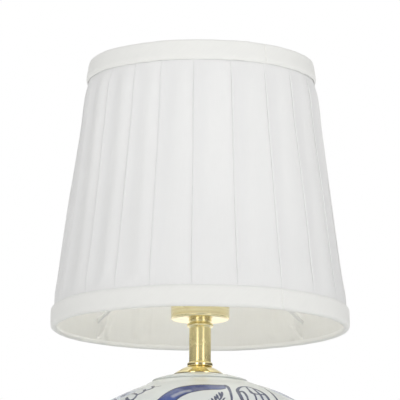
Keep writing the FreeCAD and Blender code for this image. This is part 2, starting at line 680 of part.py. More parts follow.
# middle of the leg's arc: from the corner towards the arc's centre
half_way = (-math.cos(slope) - leg_way[0], math.sin(slope) - leg_way[1])
half_long = math.hypot(*half_way)
gap = VALUE["arm_leg_arc"] / math.cos(turn / 2.0) - VALUE["arm_leg_arc"]
mm = (leg_corner[0] + half_way[0] / half_long * gap, leg_corner[1] + half_way[1] / half_long * gap)
arm_items = []
for k, az in enumerate([VALUE["arm_az"], 180.0 - VALUE["arm_az"], 180.0 + VALUE["arm_az"], 360.0 - VALUE["arm_az"]]):
    a = math.radians(az)

    def at(p):
        return Vector(p[0] * math.cos(a), p[0] * math.sin(a), p[1])

    mid_ang = slope / 2.0
    centre = (p2[0], p2[1] - rad)
    pm = (centre[0] + rad * math.sin(mid_ang), centre[1] + rad * math.cos(mid_ang))
    spine = Part.Wire([
        Part.LineSegment(at(m0), at(m1)).toShape(),
        Part.Arc(at(m1), at(mm), at(m2)).toShape(),
        Part.LineSegment(at(m2), at(p1)).toShape(),
        Part.Arc(at(p1), at(pm), at(p2)).toShape(),
        Part.LineSegment(at(p2), at(p3)).toShape(),
    ])
    way = at(m1) - at(m0)
    way.normalize()
    disc = Part.Wire([Part.Circle(at(m0), way, VALUE["arm_wire"]).toShape()])
    arm_items.append(spine.makePipeShell([disc], True, False))
arms = doc.addObject("Part::Feature", "arm_set")
arms.Shape = Part.makeCompound(arm_items)
arms.Placement = Placement(Vector(0, 0, VALUE["shade_low"]), Rotation())
arms.setExpression("Placement.Base.z", "Sizes.shade_low")
node(arms, "shade_arms")
print("arm leg", [round(v, 2) for v in m0 + m1 + mm + m2])
print("arm slope", round(math.degrees(slope), 2), "level run", [round(v, 2) for v in p3], [round(v, 2) for v in p2])

# ---------------------------------------------------------------- shade fabrics as closed shells
hi = C("shade_high")
band = C("band_high")
ctk, ltk, leg = C("cover_thick"), C("lining_thick"), C("trim_leg")
cover_low = C("trim_low_out") - leg - 0.1
cover_high = C("trim_high_out") - leg - 0.3
cover_mid_low = 122.45
cover_mid_high = 95.85
lathe("shade_cover", [
    (cover_low - ctk, 1.2), (cover_low, 1.2), (cover_mid_low, band), (cover_mid_high, hi - band),
    (cover_high, hi - 1.2), (cover_high - ctk, hi - 1.2), (cover_mid_high - 0.75, hi - band), (cover_mid_low - 0.75, band),
], z_shade)

lining = new_body("shade_lining", z_shade)
sk = sketch_on(lining, "lining_profile")
low_in = C("low_wire_rad") - C("wire_rad")
high_in = C("high_wire_rad") - C("wire_rad")
outline(sk, [
    (low_in - 0.08 - ltk, 1.2), (low_in - 0.08, 1.2), (low_in - 0.08, 2.9), (low_in - 2.1, 5.2), (low_in - 2.3, 14.0),
    (high_in + 1.85, hi - 17.0), (high_in - 0.08, hi - 3.6), (high_in - 0.08, hi - 1.2),
    (high_in - 0.08 - ltk, hi - 1.2), (high_in - 0.08 - ltk, hi - 3.6), (high_in + 1.85 - ltk, hi - 17.0),
    (low_in - 2.3 - ltk, 14.0), (low_in - 2.1 - ltk, 5.3), (low_in - 0.08 - ltk, 3.05),
])
turned(lining, sk)
doc.recompute()
slit_before = lining.Shape.Volume
sk = sketch_on(lining, "slit_outline", "XY_Plane")
for az in (VALUE["arm_az"], 180 - VALUE["arm_az"], 180 + VALUE["arm_az"], 360 - VALUE["arm_az"]):
    a = math.radians(az)
    round_hole(sk, 118.2 * math.cos(a), 118.2 * math.sin(a), 4.0)
sk.AttachmentOffset = Placement(Vector(0, 0, 12.0), Rotation())
slits = lining.newObject("PartDesign::Pocket", "arm_slits")
slits.Profile = sk
slits.Length = 14.0
slits.Reversed = True
doc.recompute()
slit_after = lining.Shape.Volume
if abs(slit_after - slit_before) < 0.5:
    slits.Reversed = False
    doc.recompute()

ft = C("fold_high")
fold_low_out = low_in - 0.08 - ltk - 0.06
lathe("shade_bottom_trim", [
    (fold_low_out, 1.1), (fold_low_out, 3.0), (fold_low_out - 2.05, 5.4), (fold_low_out - 2.08, ft), (fold_low_out - 2.08 - leg, ft),
    (fold_low_out - 2.05 - leg, 5.0), (fold_low_out - leg, 2.3), (fold_low_out - leg, 0.9, 0.9, 1), (fold_low_out - leg + 0.9, 0),
    (C("trim_low_out") - 1.4, 0, 1.4, 1), (C("trim_low_out"), 1.4),
    (C("trim_low_edge"), band), (C("trim_low_edge") - leg, band), (C("trim_low_out") - leg, 2.6), (C("trim_low_out") - leg, 1.1),
], z_shade)

fold_high_out = high_in - 0.08 - ltk - 0.06
lathe("shade_top_trim", [
    (fold_high_out - leg, hi - 0.9), (fold_high_out - leg, hi - 3.4), (fold_high_out - leg + 0.45, hi - ft), (fold_high_out + 0.45, hi - ft),
    (fold_high_out, hi - 3.6), (fold_high_out, hi - 1.1),
    (C("trim_high_out") - leg, hi - 1.1), (C("trim_high_out") - leg, hi - 2.6), (C("trim_high_edge") - leg, hi - band), (C("trim_high_edge"), hi - band),
    (C("trim_high_out"), hi - 1.4, 1.4, 1), (C("trim_high_out") - 1.4, hi), (fold_high_out - leg + 0.9, hi, 0.9, 1),
], z_shade)

# ---------------------------------------------------------------- bulb
zb = C("bulb_foot")
lathe("bulb_contact", [
    (0, 0), (2.2, 0, 3.45, 1), (C("bulb_button"), 1.0), (C("bulb_button"), 1.2), (C("bulb_button") + 0.9, 1.9),
    (C("bulb_cap_foot") - 0.6, 4.4), (C("bulb_cap_foot") - 0.6, 5.4), (0, 5.4),
], zb)
kr, kt = C("bulb_cap_rad"), C("bulb_cap_sheet")
lathe("bulb_cap", [
    (C("bulb_cap_foot") - 0.55, 4.45), (C("bulb_cap_foot") - 0.1, 4.2), (kr - 0.6, 6.6, 1.6, 1), (kr, 8.0),
    (kr, C("bulb_cap_top")), (kr - kt, C("bulb_cap_top")), (kr - kt, 8.1), (C("bulb_cap_foot") - 0.1, 5.0), (C("bulb_cap_foot") - 0.55, 5.0),
], zb)

top = C("bulb_long")
br = C("bulb_rad")
gt = C("bulb_glass_thick")
centre = top - br
sa, ca = math.sin(math.radians(68.3)), math.cos(math.radians(68.3))
lathe("bulb_glass", [
    (C("bulb_neck"), 19.0), (C("bulb_neck"), 26.4, 40.0, -1), (14.1, 34.0),
    (br * sa, centre - br * ca, br, 1, "ball"), (0, top), (0, top - gt, br - gt, -1, "ball"),
    ((br - gt) * sa, centre - (br - gt) * ca), (14.1 - gt, 34.2, 40.8, 1), (C("bulb_neck") - gt, 26.4), (C("bulb_neck") - gt, 19.0),
], zb)

lathe("bulb_stem", [
    (0, 20.0), (9.5, 19.6), (11.4, 19.6), (11.4, 20.6), (5.2, 25.0), (3.6, 30.0), (3.6, 43.0), (1.2, 47.0), (1.2, 60.0),
    (2.2, 61.0), (1.2, 62.2), (0, 62.6),
], zb)

lead_z = 44.0
filament_r = 13.0
filament_z = 70.0
leads = []
for k, a in enumerate((40.0, 140.0)):
    a = math.radians(a)
    lo = Vector(4.0 * math.cos(a), 4.0 * math.sin(a), lead_z - 2.0)
    hi_p = Vector(filament_r * math.cos(a), filament_r * math.sin(a), filament_z - 0.65)
    along = hi_p - lo
    bar = doc.addObject("Part::Cylinder", "filament_lead_%d" % k)
    bar.Radius = 0.35
    bar.Height = along.Length
    bar.Placement = Placement(lo, Rotation(Vector(0, 0, 1), along))
    leads.append(bar)
coil = doc.addObject("Part::Torus", "filament_coil")
coil.Radius1 = filament_r
coil.Radius2 = 0.55
coil.Angle3 = 260.0
coil.Placement = Placement(Vector(0, 0, filament_z), Rotation(Vector(0, 0, 1), 140.0))
filament = doc.addObject("Part::Compound", "filament_set")
filament.Links = leads + [coil]
node(filament, "bulb_filament")
bind(filament, "Placement.Base.z", zb)

# ---------------------------------------------------------------- check, then write
doc.recompute()
bad = []
for obj in doc.Objects:
    if any(word in ("Invalid", "Error") for word in obj.State):
        bad.append((obj.Name, obj.State))
for label, obj in NODES:
    shape = obj.Shape
    if shape.isNull() or not shape.isValid() or not shape.Solids:
        bad.append((label, "shape"))
if bad:
    raise RuntimeError("failed objects: %s" % bad)

os.makedirs("parts", exist_ok=True)
for label, obj in NODES:
    obj.Shape.exportStep("parts/%s.step" % label)
    box = obj.Shape.BoundBox
    print("%-20s solids %d  vol %10.1f  z %7.2f..%7.2f  r %6.2f" % (
        label, len(obj.Shape.Solids), obj.Shape.Volume, box.ZMin, box.ZMax, max(box.XMax, box.YMax)))
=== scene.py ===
import math

import bpy
import numpy as np
from mathutils import Matrix, Vector


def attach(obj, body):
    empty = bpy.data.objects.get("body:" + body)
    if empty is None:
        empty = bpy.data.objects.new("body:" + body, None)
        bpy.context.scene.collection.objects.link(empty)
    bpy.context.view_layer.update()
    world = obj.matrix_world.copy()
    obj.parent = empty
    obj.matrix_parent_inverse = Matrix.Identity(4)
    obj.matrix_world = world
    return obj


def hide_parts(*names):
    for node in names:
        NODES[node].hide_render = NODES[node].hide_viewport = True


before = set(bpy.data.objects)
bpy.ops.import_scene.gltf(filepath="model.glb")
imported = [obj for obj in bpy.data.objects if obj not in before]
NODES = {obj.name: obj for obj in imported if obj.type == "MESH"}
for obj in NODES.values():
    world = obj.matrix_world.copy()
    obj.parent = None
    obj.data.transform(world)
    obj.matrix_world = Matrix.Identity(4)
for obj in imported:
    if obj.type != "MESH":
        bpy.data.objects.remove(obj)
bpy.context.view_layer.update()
MM = 0.001
rng = np.random.default_rng(20)
scene = bpy.context.scene


# ------------------------------------------------------------------ helpers
def sm(x, a, b):
    """Smooth step from a to b."""
    t = np.clip((np.asarray(x, float) - a) / (b - a), 0.0, 1.0)
    return t * t * (3.0 - 2.0 * t)


def bell(x, mid, half):
    """A smooth bump of half-width half."""
    t = np.clip(np.abs((np.asarray(x, float) - mid) / half), 0.0, 1.0)
    return (1.0 - t * t) ** 2


def wrap(a):
    """Azimuth difference in degrees, from -180 to 180."""
    return (np.asarray(a, float) + 180.0) % 360.0 - 180.0


class Wave:
    """Smooth periodic noise in azimuth (degrees) and height (mm), from a few sines."""

    def __init__(self, seed, low, high, tall, terms=9):
        r = np.random.default_rng(seed)
        self.k = r.integers(low, high + 1, terms)
        self.m = r.uniform(-1.0, 1.0, terms) / tall * 2.0 * math.pi
        self.p = r.uniform(0, 2 * math.pi, terms)
        self.a = r.uniform(0.5, 1.0, terms)
        self.a /= math.sqrt((self.a ** 2).sum() / 2.0)

    def __call__(self, az, z):
        az = np.radians(np.asarray(az, float))
        z = np.asarray(z, float)
        out = 0.0
        for k, m, p, a in zip(self.k, self.m, self.p, self.a):
            out = out + a * np.sin(k * az + m * z + p)
        return out


def grid(name, P, close_u=True, close_v=False, flip=False, uv=None, attrs=None, smooth=True):
    """P: rows x columns x 3, in mm. One mesh object, with uv (rows x columns x 2) and point attributes."""
    P = np.asarray(P, float) * MM
    rows, cols = P.shape[:2]
    me = bpy.data.meshes.new(name)
    me.vertices.add(rows * cols)
    me.vertices.foreach_set("co", P.reshape(-1).astype(np.float32))
    rr = np.arange(rows if close_v else rows - 1)
    cc = np.arange(cols if close_u else cols - 1)
    R, Cc = np.meshgrid(rr, cc, indexing="ij")
    R2, C2 = (R + 1) % rows, (Cc + 1) % cols
    quads = np.stack([R * cols + Cc, R * cols + C2, R2 * cols + C2, R2 * cols + Cc], -1).reshape(-1, 4)
    if flip:
        quads = quads[:, ::-1]
    n = len(quads)
    me.loops.add(n * 4)
    me.loops.foreach_set("vertex_index", quads.reshape(-1).astype(np.int32))
    me.polygons.add(n)
    me.polygons.foreach_set("loop_start", (np.arange(n) * 4).astype(np.int32))
    try:
        me.polygons.foreach_set("loop_total", np.full(n, 4, np.int32))
    except Exception:
        pass
    if uv is not None:
        # a column past the last, so that the seam's faces don't run the whole width backwards
        layer = me.uv_layers.new(name="UVMap")
        u = np.stack([uv[R, Cc], uv[R, np.minimum(Cc + 1, uv.shape[1] - 1)],
                      uv[np.minimum(R + 1, uv.shape[0] - 1), np.minimum(Cc + 1, uv.shape[1] - 1)],
                      uv[np.minimum(R + 1, uv.shape[0] - 1), Cc]], 2).reshape(-1, 4, 2)
        if flip:
            u = u[:, ::-1]
        layer.data.foreach_set("uv", u.reshape(-1).astype(np.float32))
    for key, values in (attrs or {}).items():
        a = me.attributes.new(key, "FLOAT", "POINT")
        a.data.foreach_set("value", np.asarray(values, float).reshape(-1).astype(np.float32))
    me.update(calc_edges=True)
    me.validate()
    if smooth:
        me.shade_smooth()
    ob = bpy.data.objects.new(name, me)
    scene.collection.objects.link(ob)
    return ob


def around(r, z, az):
    """Points from radius, height and azimuth (degrees): azimuth 0 faces the camera, positive to the right."""
    a = np.radians(az)
    r, z, a = np.broadcast_arrays(np.asarray(r, float), np.asarray(z, float), a)
    return np.stack([r * np.sin(a), -r * np.cos(a), z], -1)


def spline(points, per=8):
    """Catmull-Rom through the points (open)."""
    p = np.asarray(points, float)
    e = np.vstack([2 * p[0] - p[1], p, 2 * p[-1] - p[-2]])
    out = []
    for i in range(1, len(e) - 2):
        t = np.linspace(0, 1, per, endpoint=False)[:, None]
        a, b, c, d = e[i - 1], e[i], e[i + 1], e[i + 2]
        out.append(0.5 * ((2 * b) + (-a + c) * t + (2 * a - 5 * b + 4 * c - d) * t ** 2 + (-a + 3 * b - 3 * c + d) * t ** 3))
    out.append(p[-1:])
    return np.vstack(out)


def thick_loop(line, half, ends=5):
    """A closed loop at distance half round an open line, with round ends."""
    line = np.asarray(line, float)
    t = np.gradient(line, axis=0)
    t /= np.linalg.norm(t, axis=1)[:, None]
    n = np.stack([-t[:, 1], t[:, 0]], -1)
    h = np.broadcast_to(np.asarray(half, float), (len(line),))[:, None]
    left, right = line + n * h, line - n * h
    def cap(c, tt, nn, hh, sign):
        out = []
        for k in range(1, ends):
            a = math.pi * k / ends
            out.append(c + hh * (nn * math.cos(a) + sign * tt * math.sin(a)))
        return out
    end = cap(line[-1], t[-1], n[-1], h[-1, 0], 1.0)
    start = cap(line[0], t[0], -n[0], h[0, 0], -1.0)
    return np.vstack([left, end, right[::-1], start])


def arc2(p, q, rad, side, step=0.7):
    """Points of an arc from p to q (without q), centre left (1) or right (-1)."""
    p, q = np.asarray(p, float), np.asarray(q, float)
    d = q - p
    chord = np.hypot(*d)
    off = math.sqrt(max(rad ** 2 - chord ** 2 / 4, 0)) * side
    c = (p + q) / 2 + np.array([-d[1], d[0]]) / chord * off
    a, b = math.atan2(*(p - c)[::-1]), math.atan2(*(q - c)[::-1])
    sweep = (b - a) % (2 * math.pi) if side > 0 else -((a - b) % (2 * math.pi))
    n = max(2, int(math.ceil(abs(sweep) * rad / step)))
    t = a + sweep * np.arange(n) / n
    return np.stack([c[0] + rad * np.cos(t), c[1] + rad * np.sin(t)], -1)


def profile(verts, step=0.7):
    """Polyline from CAD style points: (x, y) starts a line, (x, y, radius, side) an arc."""
    out = []
    for a, b in zip(verts[:-1], verts[1:]):
        p, q = np.array(a[:2], float), np.array(b[:2], float)
        if len(a) == 2:
            n = max(1, int(math.ceil(np.hypot(*(q - p)) / step)))
            out.append(p + (q - p) * (np.arange(n) / n)[:, None])
        else:
            out.append(arc2(p, q, a[2], a[3], step))
    out.append(np.array([verts[-1][:2]], float))
    return np.vstack(out)


# ------------------------------------------------------------------ materials
class Mat:
    """A small builder round one material's node tree."""

    def __init__(self, name):
        self.m = bpy.data.materials.new(name)
        self.m.use_nodes = True
        self.t = self.m.node_tree
        self.t.nodes.clear()
        self.out = self.t.nodes.new("ShaderNodeOutputMaterial")
        self.b = self.t.nodes.new("ShaderNodeBsdfPrincipled")
        self.t.links.new(self.b.outputs[0], self.out.inputs["Surface"])
        self._obj = None

    def node(self, kind, **props):
        n = self.t.nodes.new(kind)
        for k, v in props.items():
            setattr(n, k, v)
        return n

    def link(self, a, b):
        self.t.links.new(a, b)

    def set(self, **kw):
        for k, v in kw.items():
            self.b.inputs[k.replace("_", " ")].default_value = v
        return self

    def coord(self):
        if self._obj is None:
            self._obj = self.node("ShaderNodeTexCoord").outputs["Object"]
        return self._obj

    def uv(self):
        return self.node("ShaderNodeUVMap", uv_map="UVMap").outputs[0]

    def scaled(self, vec, scale):
        n = self.node("ShaderNodeMapping")
        n.inputs["Scale"].default_value = scale
        self.link(vec, n.inputs["Vector"])
        return n.outputs[0]

    def noise(self, scale, detail=3.0, rough=0.55, vec=None, distortion=0.0):
        n = self.node("ShaderNodeTexNoise")
        n.inputs["Scale"].default_value = scale
        n.inputs["Detail"].default_value = detail
        n.inputs["Roughness"].default_value = rough
        n.inputs["Distortion"].default_value = distortion
        self.link(vec if vec is not None else self.coord(), n.inputs["Vector"])
        return n.outputs["Fac"]

    def ramp(self, fac, stops):
        n = self.node("ShaderNodeValToRGB")
        el = n.color_ramp.elements
        while len(el) > 1:
            el.remove(el[-1])
        el[0].position, el[0].color = stops[0][0], tuple(stops[0][1]) + (1,)
        for pos, col in stops[1:]:
            e = el.new(pos)
            e.color = tuple(col) + (1,)
        self.link(fac, n.inputs[0])
        return n.outputs[0]

    def math(self, op, a, b=None, c=None, clamp=False):
        n = self.node("ShaderNodeMath", operation=op, use_clamp=clamp)
        for k, v in enumerate((a, b, c)):
            if v is None:
                continue
            if isinstance(v, (int, float)):
                n.inputs[k].default_value = v
            else:
                self.link(v, n.inputs[k])
        return n.outputs[0]

    def range(self, v, a, b, c, d, smooth=False):
        n = self.node("ShaderNodeMapRange", interpolation_type="SMOOTHSTEP" if smooth else "LINEAR")
        n.inputs["From Min"].default_value = a
        n.inputs["From Max"].default_value = b
        n.inputs["To Min"].default_value = c
        n.inputs["To Max"].default_value = d
        self.link(v, n.inputs["Value"])
        return n.outputs["Result"]

    def mix(self, fac, a, b, blend="MIX"):
        n = self.node("ShaderNodeMix", data_type="RGBA", blend_type=blend)
        for k, v in ((0, fac), (6, a), (7, b)):
            if isinstance(v, (int, float)):
                n.inputs[k].default_value = v
            elif isinstance(v, tuple):
                n.inputs[k].default_value = v + (1,) if len(v) == 3 else v
            else:
                self.link(v, n.inputs[k])
        return n.outputs[2]

    def attr(self, name):
        return self.node("ShaderNodeAttribute", attribute_name=name).outputs["Fac"]

    def color(self, v):
        if isinstance(v, tuple):
            self.b.inputs["Base Color"].default_value = v + (1,)
        else:
            self.link(v, self.b.inputs["Base Color"])
        return self

    def rough(self, v):
        if isinstance(v, (int, float)):
            self.b.inputs["Roughness"].default_value = v
        else:
            self.link(v, self.b.inputs["Roughness"])
        return self

    def bump(self, *layers):
        """layers: (height, distance in metres, strength)."""
        last = None
        for height, dist, strength in layers:
            n = self.node("ShaderNodeBump")
            n.inputs["Distance"].default_value = dist
            n.inputs["Strength"].default_value = strength
            self.link(height, n.inputs["Height"])
            if last is not None:
                self.link(last, n.inputs["Normal"])
            last = n.outputs[0]
        self.link(last, self.b.inputs["Normal"])
        return self


def weave(mat, per_u, per_v, warp=0.0):
    """A plain weave from UV in metres: per_u and per_v are threads a metre."""
    sep = mat.node("ShaderNodeSeparateXYZ")
    mat.link(mat.uv(), sep.inputs[0])
    u, v = sep.outputs[0], sep.outputs[1]
    su = mat.math("SINE", mat.math("MULTIPLY", u, per_u * 2 * math.pi))
    sv = mat.math("SINE", mat.math("MULTIPLY", v, per_v * 2 * math.pi))
    return mat.math("MULTIPLY_ADD", su, sv, 0.0)


def fabric(name, tint, dark, per_u, per_v, rough, slub, sheen, weave_depth, through=0.0):
    m = Mat(name)
    cloud = m.noise(9.0, 4.0, 0.6)
    slubs = m.noise(1.0, 3.0, 0.6, vec=m.scaled(m.uv(), (900.0, 60.0, 1.0)))
    fac = m.math("ADD", m.math("MULTIPLY", cloud, 0.6), m.math("MULTIPLY", slubs, 0.4))
    m.color(m.ramp(fac, [(0.3, dark), (0.62, tint)]))
    m.rough(m.range(slubs, 0.3, 0.7, rough - 0.06, rough + 0.08))
    m.bump((m.noise(60.0, 3.0, 0.6), 0.0006, 0.25), (slubs, 0.00012, slub), (weave(m, per_u, per_v), 0.00006, weave_depth))
    m.set(Sheen_Weight=sheen, Sheen_Roughness=0.45, Specular_IOR_Level=0.3)
    if through:
        # thin cloth lets part of the light through
        tr = m.node("ShaderNodeBsdfTranslucent")
        m.link(m.b.inputs["Base Color"].links[0].from_socket, tr.inputs["Color"])
        mx = m.node("ShaderNodeMixShader")
        mx.inputs[0].default_value = through
        m.link(m.b.outputs[0], mx.inputs[1])
        m.link(tr.outputs[0], mx.inputs[2])
        m.link(mx.outputs[0], m.out.inputs["Surface"])
    return m.m


def brass(name, base, dark, rough_lo, rough_hi, lathe_lines=0.15, tarnish=0.3, aniso=0.0, bands=0.0, waves=0.05):
    m = Mat(name)
    if aniso:
        # turned on a lathe: the highlight runs along the axis
        tan = m.node("ShaderNodeTangent", direction_type="RADIAL", axis="Z")
        m.link(tan.outputs[0], m.b.inputs["Tangent"])
        m.set(Anisotropic=aniso, Anisotropic_Rotation=0.25)
    c = m.noise(45.0, 4.0, 0.6)
    fine = m.noise(1.0, 2.0, 0.5, vec=m.scaled(m.coord(), (60.0, 60.0, 5200.0)))
    tone = m.math("MULTIPLY_ADD", c, tarnish, 0.5 - tarnish / 2)
    if bands:
        # rings left by the polishing
        rings = m.noise(1.0, 3.0, 0.65, vec=m.scaled(m.coord(), (6.0, 6.0, 620.0)))
        tone = m.math("ADD", tone, m.math("MULTIPLY", m.math("SUBTRACT", rings, 0.5), bands))
    m.color(m.ramp(tone, [(0.38, dark), (0.6, base)]))
    m.rough(m.range(m.noise(120.0, 3.0, 0.6), 0.3, 0.7, rough_lo, rough_hi))
    m.bump((fine, 0.00002, lathe_lines), (m.noise(220.0, 2.0, 0.5), 0.00006, waves))
    m.set(Metallic=1.0)
    return m.m


def plain(name, a, b, scale, rough_lo, rough_hi, bump_scale, bump_dist, bump_strength, metallic=0.0, **kw):
    m = Mat(name)
    m.color(m.ramp(m.noise(scale, 4.0, 0.6), [(0.35, a), (0.65, b)]))
    m.rough(m.range(m.noise(scale * 2.3, 3.0, 0.6), 0.3, 0.7, rough_lo, rough_hi))
    m.bump((m.noise(bump_scale, 3.0, 0.6), bump_dist, bump_strength))
    m.set(Metallic=metallic, **kw)
    return m.m


cover_cloth = fabric("cover_fabric", (0.93, 0.93, 0.925), (0.90, 0.90, 0.895), 2600.0, 2300.0, 0.56, 0.25, 0.12, 0.35, 0.10)
lining_cloth = fabric("lining_fabric", (0.90, 0.895, 0.865), (0.865, 0.86, 0.825), 2300.0, 2300.0, 0.62, 0.18, 0.1, 0.3, 0.12)
trim_cloth = fabric("trim_fabric", (0.89, 0.89, 0.862), (0.855, 0.855, 0.828), 2000.0, 2000.0, 0.6, 0.2, 0.12, 0.5)

brass_cup = brass("brass_cup", (0.93, 0.85, 0.56), (0.82, 0.71, 0.40), 0.23, 0.28, 0.20, 0.2, 0.0, 0.85, 0.015)
brass_neck = brass("brass_neck", (0.90, 0.80, 0.45), (0.84, 0.71, 0.36), 0.26, 0.28, 0.03, 0.22, 0.95, 0.0, 0.006)
brass_turned = brass("brass_turned", (0.89, 0.78, 0.46), (0.82, 0.70, 0.37), 0.09, 0.13, 0.05, 0.25, 0.0, 0.2, 0.02)
brass_base = brass("brass_base", (0.90, 0.79, 0.46), (0.80, 0.67, 0.36), 0.16, 0.27, 0.3)
brass_contact = brass("contact_brass", (0.86, 0.72, 0.40), (0.70, 0.55, 0.28), 0.2, 0.35, 0.1)
steel = plain("steel_zinc", (0.50, 0.51, 0.52), (0.66, 0.66, 0.65), 140.0, 0.26, 0.42, 900.0, 0.00003, 0.25, 1.0)
wire_metal = plain("frame_wire", (0.80, 0.80, 0.79), (0.86, 0.86, 0.85), 160.0, 0.34, 0.46, 500.0, 0.00005, 0.3, Coat_Weight=0.1)
ring_metal = plain("fitter_metal", (0.52, 0.52, 0.51), (0.66, 0.66, 0.65), 130.0, 0.28, 0.4, 800.0, 0.00003, 0.2, 1.0)
holder_black = plain("holder_plastic", (0.018, 0.018, 0.019), (0.030, 0.030, 0.031), 70.0, 0.34, 0.48, 1500.0, 0.00003, 0.22, Specular_IOR_Level=0.5)
ring_white = plain("ring_plastic", (0.74, 0.73, 0.70), (0.80, 0.79, 0.76), 60.0, 0.36, 0.48, 1200.0, 0.00003, 0.15)
rubber = plain("rubber_grey", (0.055, 0.055, 0.056), (0.085, 0.085, 0.086), 110.0, 0.62, 0.8, 1300.0, 0.00006, 0.35)
clear_gasket = plain("soft_gasket", (0.60, 0.60, 0.57), (0.70, 0.70, 0.67), 90.0, 0.4, 0.55, 900.0, 0.00004, 0.2)
cap_alu = plain("cap_metal", (0.62, 0.62, 0.62), (0.76, 0.76, 0.75), 150.0, 0.22, 0.36, 600.0, 0.00004, 0.15, 1.0)
filament_metal = plain("filament_wire", (0.20, 0.19, 0.18), (0.34, 0.32, 0.30), 400.0, 0.35, 0.5, 2500.0, 0.00002, 0.3, 1.0)

# felt: short fibres every way
_m = Mat("felt_green")
_f = _m.noise(420.0, 6.0, 0.75, distortion=1.6)
_m.color(_m.ramp(_f, [(0.3, (0.018, 0.045, 0.028)), (0.7, (0.045, 0.095, 0.062))]))
_m.rough(_m.range(_f, 0.3, 0.7, 0.86, 0.98))
_m.bump((_f, 0.0004, 0.9))
_m.set(Sheen_Weight=0.35, Sheen_Roughness=0.5)
felt = _m.m

# opal glass of the bulb: milky, lightly glossy
_m = Mat("opal_glass")
_m.color(_m.ramp(_m.noise(40.0, 3.0, 0.5), [(0.3, (0.86, 0.86, 0.84)), (0.7, (0.91, 0.91, 0.895))]))
_m.rough(_m.range(_m.noise(90.0, 3.0, 0.5), 0.3, 0.7, 0.20, 0.30))
_m.bump((_m.noise(160.0, 3.0, 0.6), 0.0001, 0.06))
_m.set(Coat_Weight=0.25, Coat_Roughness=0.08, Specular_IOR_Level=0.5)
opal = _m.m

# clear glass of the stem
_m = Mat("clear_glass")
_m.color(_m.ramp(_m.noise(60.0), [(0.3, (0.93, 0.95, 0.94)), (0.7, (0.98, 0.99, 0.985))]))
_m.rough(_m.range(_m.noise(150.0), 0.3, 0.7, 0.01, 0.05))
_m.bump((_m.noise(200.0), 0.00005, 0.1))
_m.set(Transmission_Weight=0.9, IOR=1.5)
clear = _m.m


def glaze(m):
    """Bump and gloss of a fired glaze: nearly flat, with faint orange peel and a few pits."""
    m.rough(m.range(m.noise(70.0, 3.0, 0.6), 0.3, 0.7, 0.17, 0.26))
    pits = m.node("ShaderNodeTexVoronoi", feature="F1")
    pits.inputs["Scale"].default_value = 120.0
    m.link(m.coord(), pits.inputs["Vector"])
    pit = m.range(pits.outputs["Distance"], 0.0, 0.07, 0.0, 1.0, True)
    m.bump((m.noise(26.0, 2.0, 0.5), 0.0012, 0.06), (m.noise(160.0, 2.0, 0.5), 0.00015, 0.06), (pit, 0.00006, 0.15))
    m.set(Coat_Weight=0.0, Specular_IOR_Level=0.3)


# white glaze of the lid
_m = Mat("white_porcelain")
_m.color(_m.ramp(_m.noise(30.0, 4.0, 0.6), [(0.3, (0.66, 0.685, 0.665)), (0.7, (0.705, 0.725, 0.70))]))
glaze(_m)
lid_glaze = _m.m

# painted jar: cobalt under the glaze, from three attributes of the mesh
# ink: how far inside a drawn line (mm), wash: strength of the pale filling, pool: strength of the dark filling
_m = Mat("painted_porcelain")
body_white = _m.ramp(_m.noise(22.0, 4.0, 0.6), [(0.3, (0.665, 0.69, 0.675)), (0.7, (0.715, 0.735, 0.715))])
edge_noise = _m.math("MULTIPLY", _m.math("SUBTRACT", _m.noise(520.0, 3.0, 0.6), 0.5), 0.55)
ink = _m.range(_m.math("ADD", _m.attr("ink"), edge_noise), -0.22, 0.30, 0.0, 1.0, True)
ink_load = _m.range(_m.noise(75.0, 4.0, 0.65), 0.25, 0.7, 0.85, 1.0)
ink = _m.math("MULTIPLY", ink, ink_load)
mottle = _m.range(_m.noise(130.0, 5.0, 0.7), 0.25, 0.75, 0.55, 1.15)
streak = _m.range(_m.noise(48.0, 4.0, 0.65, distortion=1.2), 0.3, 0.7, 0.75, 1.1)
wash = _m.math("MULTIPLY", _m.math("MULTIPLY", _m.attr("wash"), mottle), streak, clamp=True)
pool = _m.math("MULTIPLY", _m.attr("pool"), _m.range(_m.noise(95.0, 4.0, 0.6), 0.25, 0.75, 0.90, 1.12), clamp=True)
shade1 = _m.mix(_m.math("MULTIPLY", wash, 0.85), body_white, (0.235, 0.315, 0.60))
cobalt = _m.ramp(_m.noise(60.0, 4.0, 0.65), [(0.3, (0.007, 0.026, 0.165)), (0.52, (0.013, 0.043, 0.235)), (0.72, (0.042, 0.088, 0.34))])
shade2 = _m.mix(_m.math("MULTIPLY", pool, 0.99), shade1, cobalt)
line_blue = _m.ramp(_m.noise(50.0, 3.0, 0.6), [(0.3, (0.012, 0.016, 0.060)), (0.7, (0.030, 0.042, 0.135))])
_m.color(_m.mix(_m.math("MULTIPLY", ink, 0.96), shade2, line_blue))
glaze(_m)
jar_paint = _m.m

for ob in NODES.values():
    ob.data.materials.clear()


def give(material, *names):
    for n in names:
        NODES[n].data.materials.append(material)


give(felt, "base_felt_pad")
give(brass_base, "base_plinth")
give(rubber, "cord_grommet", "base_seat_gasket")
give(clear_gasket, "lid_gasket", "cap_gasket")
give(steel, "bottom_washer", "lock_washer", "bottom_nut", "threaded_rod", "holder_nipple_nut", "terminal_screws")
give(lid_glaze, "jar_lid")
give(brass_neck, "neck_tube")
give(brass_turned, "vase_cap", "neck_lower_ring")
give(brass_cup, "holder_cup", "neck_upper_ring")
give(holder_black, "holder_body")
give(ring_white, "holder_core", "shade_seat_ring", "shade_lock_ring")
give(brass_contact, "screw_shell", "centre_contact")
give(ring_metal, "shade_fitter_ring")
give(wire_metal, "shade_arms", "shade_ribs", "shade_top_ring", "shade_bottom_ring")
give(opal, "bulb_glass")
give(cap_alu, "bulb_cap")
give(brass_contact, "bulb_contact")
give(clear, "bulb_stem")
give(filament_metal, "bulb_filament")
give(jar_paint, "jar_body")
give(cover_cloth, "shade_cover")
